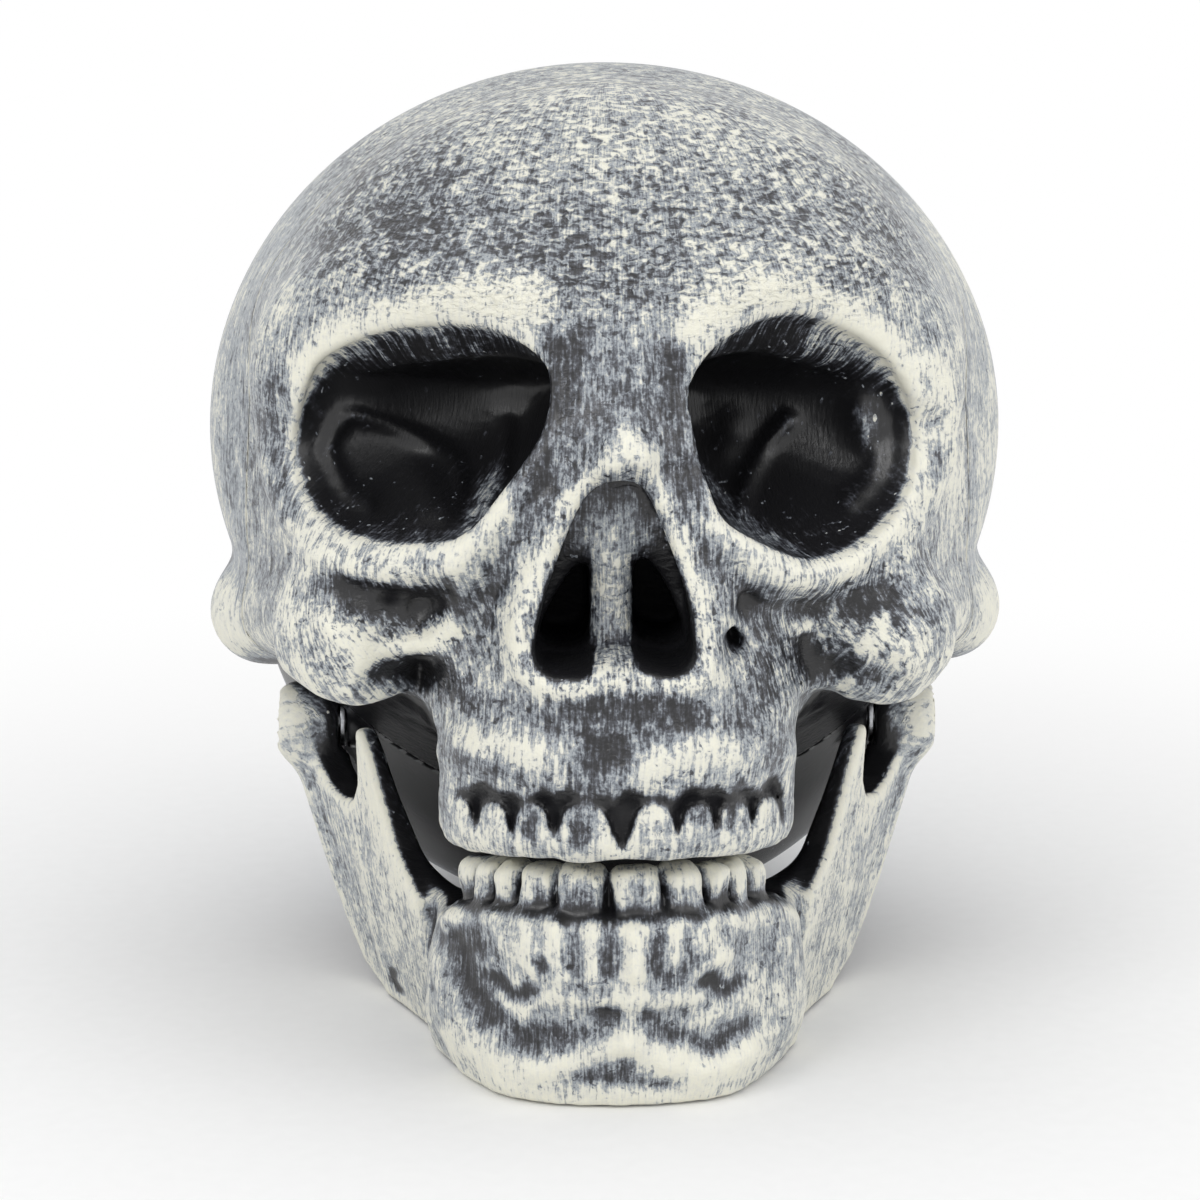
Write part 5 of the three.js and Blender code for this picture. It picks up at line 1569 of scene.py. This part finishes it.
@dataclass
class Jaw:
    """The lower jaw with its teeth, chin, rami and hinge knuckles."""

    skull: Skull
    paint: BonePaint
    step: float = 0.62
    block: Corners = ((-64, -93, -2.5), (64, 6, 58))
    near_gum: Corners = ((-40, -93, 15), (40, -44, 46))
    chin: Oval = ((0, -74, 10), (22, 8, 15))
    lumps: tuple[tuple[float, float, int], ...] = ((5.5, 0.4, 21), (2.4, 0.26, 22))  # size, height and seed
    drum: Pair = (-36.0, 46.0)  # middle along Y and radius of the drum that the brush goes up
    knuckle: Turned = (6.5, (49.0, 60.6))
    knuckle_face: Turned = (7.0, (0, 49.6))  # cut flat for the washer
    head_room: Turned = (4.8, (57.6, 90))
    pin_hole: Turned = (2.6, (0, 90))
    ramus_top: float = 55.1  # how far from the middle a ramus ends at the hinge
    flare: float = 0.42  # turn of a ramus about the upright
    tilt: float = 0.2  # how far a ramus leans out
    lean: float = 0.2  # how far the front leans out
    gum: float = 35.0
    border: tuple[Pair, ...] = (  # along X and Y, like the path of the body
        (60, 10), (47, -16), (40.5, -30), (34.5, -45), (29.8, -57), (24.8, -68.5), (20, -74.5), (12, -79.8), (0, -82.3),
    )
    path: tuple[Pair, ...] = ((39.5, -24), (27.5, -43), (25.5, -62), (12.75, -74), (0, -76))
    plate: tuple[Pair, ...] = (
        (4.2, 0), (2.2, -10), (-0.3, -22), (-4.2, -37), (-10, -45), (-21.9, -49.5), (-46, -49.5), (-46, -21.5),
        (-39, -14.5), (-35.5, -6), (-33.4, 2.5), (-31.2, 6.4), (-29.4, 6.0), (-27.6, 2.0), (-25, -5), (-21.5, -9.4),
        (-17.3, -10.2), (-12, -9), (-7, -5), (-4.2, 0),
    )
    teeth: ToothRow = field(default_factory=lambda: ToothRow(
        left=(8.4, 7.0, 5.6, 5.8, 7.0), right=(8.6, 7.0, 5.4, 5.2, 6.0), half=24.0, front=-79.9, middle=-2.0,
        bite=42.6, height=11.0, taper=0.12))
    roots: tuple[float, ...] = (-21.6, -16.6, -11.4, -5.2, 2.6, 9.4, 14.6, 19.2)
    relief: tuple[Stroke, ...] = (
        # pits, a nick and a groove
        Stroke(((-20.5, 21.4), (-18.0, 19.4), (-15.2, 20.6)), 1.9, -1.2),
        Stroke(((15.0, 22.2), (17.6, 20.0), (19.8, 20.8)), 1.9, -1.1),
        Stroke(((-39.6, 6.4), (-39.4, 4.4), (-38.4, 3.2)), 0.8, -0.8),
        Stroke(((-1.3, 5.3), (3.5, 4.2), (8.4, 3.8)), 1.3, -0.5),
        # hollows beside the chin
        Stroke(((-27.0, 24.0), (-23.0, 16.0), (-16.0, 12.0)), 4.6, -1.5),
        Stroke(((9.5, 13.4), (14.5, 11.0), (21.0, 12.6)), 3.6, -1.4),
        # ridge down the chin and along the border
        Stroke(((1.6, 32.0), (2.2, 22.0), (0.8, 12.5)), 2.2, 0.9),
        Stroke(((0.8, 12.5), (-6.0, 9.8), (-14.5, 6.4)), 2.4, 1.0),
        Stroke(((0.8, 12.5), (7.0, 9.0), (14.0, 6.4), (22.0, 8.0)), 2.4, 1.0),
    )
    strokes: tuple[Stroke, ...] = (
        # rami
        Stroke(((-41.0, 40.0), (-40.0, 25.0), (-39.0, 8.0)), 6.5, 0.12),
        Stroke(((44.0, 38.0), (40.5, 22.0), (35.0, 8.0)), 6.0, 0.14),
        # lower border
        Stroke(((-26.0, 7.0), (-16.0, 2.5), (-4.0, 1.5)), 3.2, 0.2),
        Stroke(((6.0, 8.0), (14.0, 9.5), (22.0, 6.0)), 4.2, 0.2),
        # pits, nick and hollows
        Stroke(((-20.5, 21.8), (-18.0, 19.8), (-15.2, 21.0)), 1.4, -0.3),
        Stroke(((15.0, 22.6), (17.6, 20.4), (19.8, 21.2)), 1.4, -0.3),
        Stroke(((-6.0, 5.6), (0.0, 6.0), (7.0, 4.8)), 1.5, -0.26),
        Stroke(((-39.6, 6.4), (-39.4, 4.4), (-38.4, 3.2)), 0.7, -0.7),
        Stroke(((-27.5, 25.0), (-24.0, 17.0), (-17.0, 12.6), (-11.0, 12.4)), 3.8, -0.26),
        Stroke(((-20.5, 18.2), (-18.0, 16.4), (-15.0, 17.8)), 0.9, 0.2),
        # ridge and hollow of the chin
        Stroke(((1.6, 33.0), (2.0, 22.0), (0.6, 12.0)), 2.0, 0.16),
        Stroke(((0.6, 12.0), (-6.0, 9.8), (-14.0, 6.6)), 2.0, 0.2),
        Stroke(((0.6, 12.0), (7.0, 9.0), (14.0, 6.4), (22.0, 8.0)), 2.0, 0.22),
        Stroke(((9.0, 13.6), (14.0, 11.2), (20.5, 12.6)), 2.6, -0.28),
        # between the roots
        Stroke(((-1.8, 31.0), (-2.4, 26.0)), 1.7, -0.24),
        Stroke(((-9.0, 30.0), (-8.6, 26.5)), 1.8, -0.18),
        Stroke(((-14.6, 30.5), (-13.6, 26.0)), 1.6, -0.22),
        Stroke(((-22.0, 32.0), (-24.0, 27.0)), 1.8, -0.24),
        Stroke(((6.6, 30.5), (7.6, 23.0)), 1.7, -0.2),
        Stroke(((12.6, 29.5), (14.2, 23.0)), 1.6, -0.24),
        Stroke(((18.6, 31.0), (20.0, 27.0)), 1.5, -0.2),
        # crowns
        Stroke(((-14.2, 39.4), (-13.4, 37.4)), 1.1, -0.3),
        Stroke(((-7.4, 39.6), (-5.8, 38.2)), 1.6, -0.3),
        Stroke(((1.8, 40.4), (3.2, 39.6)), 1.2, -0.3),
    )

    def build(self) -> bpy.types.Object:
        """Models, meshes and dresses the jaw.

        Returns:
            The jaw's object.
        """
        skull = self.skull
        clay = Clay(self.block, self.step)
        clay.add(self.body)
        clay.add(lambda x, y, z: ellipsoid(x, y, z, *self.chin), 5)
        clay.add(self._gum, 2.5, self.near_gum)
        self.teeth.grow(clay, 0.5)
        clay.add(self.ramus, 4)
        clay.add(lambda x, y, z: bar(np.abs(x), y, z, *skull.neck), 3)
        clay.add(lambda x, y, z: rod(np.abs(x), y, z, Axis.X, skull.hinge, *self.knuckle, 3.0), 6)
        self._carve_front(clay)
        for sign in SIDES:
            for bore in (self.knuckle_face, self.head_room, self.pin_hole):
                clay.cut(skull.on_hinge(sign, *bore))
        clay.trim(-clay.grid()[2])
        places, faces = clay.mesh()
        made = make_piece("jaw_skin", places, faces)
        self.dress(made, self._coat(clay, places))
        return made

    def dress(self, jaw: bpy.types.Object, coat: Coat) -> None:
        """Paints the jaw."""
        coat.lay(jaw.data)
        jaw.data.materials.append(self.paint.material("jaw_paint"))

    def body(self, x: Array, y: Array, z: Array) -> Array:
        """The horseshoe body, leaning out at the front, with a border that narrows to the chin.

        Args:
            x, y, z: places.

        Returns:
            The distance at each place.
        """
        forward = ramp(-y, 37.4, 54)
        half = (29.5 + 4.0 * ramp(-y, 56, 68)) / 2
        thick = (5.7 + 6.3 * forward) / 2
        up = z + 1.5 - half
        loop = mirrored(smooth_line(self.path, False, 5))
        flat = loop_distance(x, y, loop)
        along = line_distance(x, y, loop)
        front_lean = self.lean - 0.3 * ramp(np.abs(x), 12, 26)
        out = np.where(flat < 0, -along, along) - (self.tilt + (front_lean - self.tilt) * forward) * (z - 18)
        made = meet(np.abs(out) - thick, np.abs(up) - half, 3.2)
        limit = loop_distance(x, y, mirrored(smooth_line(self.border, False, 3))) - 0.45 * np.maximum(z, 0)
        return np.maximum(-join(-made, -limit, 3.0), y + 24)

    def ramus(self, x: Array, y: Array, z: Array) -> Array:
        """The upright plates on both sides.

        Args:
            x, y, z: places.

        Returns:
            The distance at each place.
        """
        x = np.abs(x) - self.ramus_top
        y, z = y - self.skull.hinge[0], z - self.skull.hinge[1]
        u = z / math.cos(self.tilt)
        rest = x - u * math.sin(self.tilt)
        b = rest * math.sin(self.flare) + y * math.cos(self.flare)
        across = (rest * math.cos(self.flare) - y * math.sin(self.flare)) * math.cos(self.tilt)
        edge = loop_distance(b, u, np.array(self.plate))
        blade = 3.5 - 1.5 * ramp(u, -30, 4) * ramp(-b, 14, 26)
        return meet(edge, np.abs(across) - blade, 1.6)

    def _gum(self, x: Array, y: Array, z: Array) -> Array:
        """Distance to the ridge that the lower teeth stand in."""
        plan = np.abs(self.skull.jaw_plan(x, y, self.teeth.half, self.teeth.front)) - 4.8
        return np.maximum(meet(plan, np.abs(self.teeth.level(y, z) - self.gum + 8) - 8, 2.2), y + 55)

    def _carve_front(self, clay: Clay) -> None:
        """Gives the front its ridges, hollows, roots and lumps.

        Args:
            clay: the block that the jaw is modelled in.
        """
        x, y, z = clay.grid()
        height = sum(stroke.at(x, z) for stroke in self.relief)
        level = self.teeth.level(y, z)
        for root in self.roots:
            low = self.gum - 7 - 3 * math.sin(root)
            height = height + Stroke(((root, self.gum - 2), (root * 0.92, low)), 2.0, 1.2).at(x, level)
        clay.raise_by(height * ramp(-y, 20, 40))
        for size, amount, seed in self.lumps:
            clay.roughen(size, amount, seed, ramp(-y, 40, 60))

    def _coat(self, clay: Clay, places: Array) -> Coat:
        """Works out where the paint lies.

        Args:
            clay: the block that the jaw was modelled in.
            places: the mesh's places.

        Returns:
            The coat.
        """
        x, y, z = places.T
        fine, broad = (clay.standing_out(clay.d, radius, places) for radius in (1.1, 4.0))
        cover = 0.53 + 2.2 * fine + 1.1 * broad
        for stroke in self.strokes:
            cover += stroke.at(x, z) * ramp(-y, 4, 20)
        # gum line and crowns
        level, near = self.teeth.level(y, z), ramp(-y, 46, 56)
        scallop = level - self.gum + 0.2 + 0.6 * np.cos((x + 2.0) * math.tau / 7.6)
        cover -= 0.5 * swell(scallop, 1.1) * near
        cover -= 0.05 * ramp(level, self.gum, self.gum + 1.5) * (1 - ramp(level, 40.6, 42.2)) * near
        # inside of the arch, knuckles and inner sides
        inside = self.skull.jaw_plan(x, y, 26.0, -79.0) < 0
        cover[inside & (z < self.gum - 2)] -= 0.9
        cover -= 0.5 * ramp(np.abs(x), 57, 60) * ramp(z, 40, 44)
        way = clay.facing(places)
        outward = np.sign(x) * way[:, 0] * math.cos(self.flare) - way[:, 1] * math.sin(self.flare)
        cover -= 1.1 * ramp(y, -66, -56) * ramp(-outward, -0.45, -0.05)
        even = np.ones(len(places))
        return Coat(settle(cover), 0.8 * even, 0.1 * even, brush_places(places, *self.drum))


@dataclass
class Hardware:
    """The turned steel pieces: hinge pins, washers and shell screws."""

    skull: Skull
    finish: ZincSteel
    step: float = 0.16
    pitch: float = 1.2
    groove: float = 0.32  # depth of a thread
    pin_thread: Turned = (1.6, (37, 48.2))
    pin_shoulder: Turned = (2.5, (48.15, 58))
    pin_head: Turned = (4.5, (57.9, 60.5))
    disc: Turned = (5.0, (48.3, 49.3))
    disc_hole: Turned = (2.6, (40, 60))
    screw_thread: Turned = (1.6, (36, 54))
    screw_head: Turned = (3.2, (33.9, 36.1))

    def _thread(self, x: Array, y: Array, z: Array, axis: Axis, at: Pair, radius: float, span: Pair) -> Array:
        """A threaded shank along an axis.

        Args:
            x, y, z: places.
            axis: which way it runs.
            at: where its axis lies on the other two axes.
            radius: its radius.
            span: where it starts and ends.

        Returns:
            The distance at each place.
        """
        along, across, over = turned(x, y, z, axis)
        turn = np.arctan2(over - at[1], across - at[0]) / (2 * math.pi)
        wave = np.abs(((along / self.pitch - turn) % 1.0) - 0.5) * 2
        return rod(x, y, z, axis, at, radius, span) + self.groove * wave

    def pin(self, sign: float) -> tuple[Array, Array]:
        """A shoulder screw with a cross recess, pointing outwards along X.

        Args:
            sign: which side it is on.

        Returns:
            Its places and faces.
        """
        skull, hinge = self.skull, self.skull.hinge
        low, high = sorted((sign * 36, sign * 61.5))
        clay = Clay(((low, -9.5, 41.5), (high, 1.5, 52.5)), self.step)
        radius, (start, end) = self.pin_thread
        clay.add(lambda x, y, z: self._thread(x, y, z, Axis.X, hinge, radius, (sign * start, sign * end)))
        clay.add(skull.on_hinge(sign, *self.pin_shoulder))
        head, dome = skull.on_hinge(sign, *self.pin_head), ((sign * 57.9, *hinge), (2.6, 5.4, 5.4))
        clay.add(lambda x, y, z: np.maximum(head(x, y, z), ellipsoid(x, y, z, *dome)))
        for half in ((3, 0.45, 2.3), (3, 2.3, 0.45)):
            clay.cut(lambda x, y, z, h=half: box(x, y, z, (sign * 61.8, *hinge), h, 0.1))
        return clay.mesh()

    def washer(self, sign: float) -> tuple[Array, Array]:
        """A flat washer between a boss and a knuckle.

        Args:
            sign: which side it is on.

        Returns:
            Its places and faces.
        """
        low, high = sorted((sign * 47.5, sign * 50))
        clay = Clay(((low, -10, 41), (high, 2, 53)), self.step)
        clay.add(self.skull.on_hinge(sign, *self.disc))
        clay.cut(self.skull.on_hinge(sign, *self.disc_hole))
        return clay.mesh()

    def screw(self, sign: float) -> tuple[Array, Array]:
        """A shell screw with a cross recess under its head, pointing up.

        Args:
            sign: which side it is on.

        Returns:
            Its places and faces.
        """
        at = self.skull.screw_at(sign)
        clay = Clay(((at[0] - 4, at[1] - 4, 33), (at[0] + 4, at[1] + 4, 56.5)), self.step)
        clay.add(lambda x, y, z: self._thread(x, y, z, Axis.Z, at, *self.screw_thread))
        clay.add(lambda x, y, z: bar(x, y, z, (*at, 52.5), (*at, 55.0), 1.5, 0.3))
        head, dome = self.skull.on_screw(sign, *self.screw_head), ((*at, 36.1), (3.9, 3.9, 2.2))
        clay.add(lambda x, y, z: np.maximum(head(x, y, z), ellipsoid(x, y, z, *dome)))
        for half in ((0.4, 1.7, 2), (1.7, 0.4, 2)):
            clay.cut(lambda x, y, z, h=half: box(x, y, z, (*at, 33.2), h, 0.1))
        return clay.mesh()

    def build(self) -> list[tuple[bpy.types.Object, str]]:
        """Makes all six pieces.

        Returns:
            Each object with the CAD node that it stands for.
        """
        steel = self.finish.material("zinc")
        made = []
        for side, sign in (("left", 1.0), ("right", -1.0)):
            for kind, shape in (("hinge_pin", self.pin), ("hinge_washer", self.washer), ("shell_screw", self.screw)):
                piece = make_piece(f"{kind}_{side}_metal", *shape(sign))
                self.dress(piece, steel)
                made.append((piece, f"{kind}_{side}"))
        return made

    def dress(self, piece: bpy.types.Object, steel: bpy.types.Material) -> None:
        """Plates a piece."""
        piece.data.materials.append(steel)


# The stage

@dataclass(frozen=True)
class Lamp:
    """A square soft light: its place and size in metres and its power in watts."""

    name: str
    place: Triple
    size: float
    power: float

    def build(self, target: Triple) -> None:
        """Sets up the light.

        Args:
            target: the place that it faces.
        """
        data = bpy.data.lights.new(self.name, "AREA")
        data.size, data.energy = self.size, self.power
        lamp = bpy.data.objects.new(self.name, data)
        bpy.context.scene.collection.objects.link(lamp)
        lamp.location = self.place
        x, y, z = np.array(target) - np.array(self.place)
        lamp.rotation_euler = (math.atan2(math.hypot(x, y), -z), 0, math.atan2(y, x) - math.pi / 2)


@dataclass
class Studio:
    """Pale floor, soft lights and the camera at the photo's view, in metres."""

    target: Triple = (-0.0011, 0.0, 0.0683)
    distance: float = 0.7
    pitch: float = math.radians(14.0)
    azimuth: float = math.radians(-1.7)
    lens: float = 113.2
    paper: tuple[Triple, Triple] = ((0.9, 0.9, 0.9), (0.94, 0.94, 0.94))
    grain: Grain = Grain((300.0, 300.0, 300.0), 3.0)
    fade: Pair = (0.07, 0.3)  # from the skull, where the floor turns white to the eye
    ambience: float = 0.66
    lamps: tuple[Lamp, ...] = (
        Lamp("key", (-0.55, -0.75, 0.75), 0.5, 3.2),
        Lamp("fill", (0.8, -0.55, 0.5), 0.7, 2.2),
        Lamp("top", (0.05, 0.0, 1.0), 0.9, 2.2),
    )

    def build(self) -> None:
        """Sets up the floor, the world, the lights and the camera."""
        self._floor()
        self._world()
        for lamp in self.lamps:
            lamp.build(self.target)
        self._camera()

    def _floor(self) -> None:
        """A wide pale floor: it shows the shadow near the skull and looks white away from it."""
        bpy.ops.mesh.primitive_plane_add(size=6, location=(0, 0, -0.0004))
        floor = bpy.context.object
        floor.name = "floor"
        paper = bpy.data.materials.new("floor_paper")
        s = Shader(paper)
        place = s.place()
        grain = s.noise(place, self.grain)
        surface = s.surface(s.blend(grain, *self.paper), 0.9, 0.0, grain, 0.01 * MM)
        away = s.node("VectorMath", {0: place}, operation="LENGTH").outputs["Value"]
        white = s.math("MULTIPLY", s.seen(), s.step(away, *self.fade))
        s.node("OutputMaterial", {"Surface": s.mix(white, surface, s.node("Emission").outputs[0])})
        floor.data.materials.append(paper)

    def _world(self) -> None:
        """A white world that lights softly and looks white to the camera and in gloss."""
        world = bpy.data.worlds.new("studio")
        s = Shader(world)
        soft, white = (
            s.node("Background", {"Color": (1, 1, 1, 1), "Strength": strength}).outputs[0]
            for strength in (self.ambience, 1.0)
        )
        s.node("OutputWorld", {"Surface": s.mix(s.seen(), soft, white)})
        bpy.context.scene.world = world

    def _camera(self) -> None:
        """The camera at the photo's view."""
        data = bpy.data.cameras.new("photo")
        data.lens = self.lens
        data.sensor_width = 36.0
        data.clip_start = 0.01
        camera = bpy.data.objects.new("photo", data)
        bpy.context.scene.collection.objects.link(camera)
        level = math.cos(self.pitch) * self.distance
        camera.location = (
            self.target[0] + math.sin(self.azimuth) * level,
            self.target[1] - math.cos(self.azimuth) * level,
            self.target[2] + math.sin(self.pitch) * self.distance,
        )
        camera.rotation_euler = (math.pi / 2 - self.pitch, 0, self.azimuth)
        bpy.context.scene.camera = camera


def seat(piece: bpy.types.Object, body: Body, node: str) -> None:
    """Ties a piece to the frame.

    Args:
        piece: the piece.
        body: the body that it rides on.
        node: the CAD node that it stands for.
    """
    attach(piece, body.value)
    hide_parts(node)
    log.info("%s rides on %s for %s", piece.name, body.value, node)


def main() -> None:
    """Builds the skull, the hardware and the studio."""
    logging.basicConfig(level=logging.INFO)
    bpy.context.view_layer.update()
    skull, paint = Skull(), BonePaint()
    seat(FaceShell(skull, paint).build(), Body.SKULL, "face_shell")
    seat(CraniumShell(skull, paint).build(), Body.SKULL, "cranium_shell")
    seat(Jaw(skull, paint).build(), Body.JAW, "jaw")
    for piece, node in Hardware(skull, ZincSteel()).build():
        seat(piece, Body.SKULL, node)
    Studio().build()
    scene = bpy.context.scene
    scene.view_settings.view_transform = "Standard"


if __name__ == "__main__":
    main()
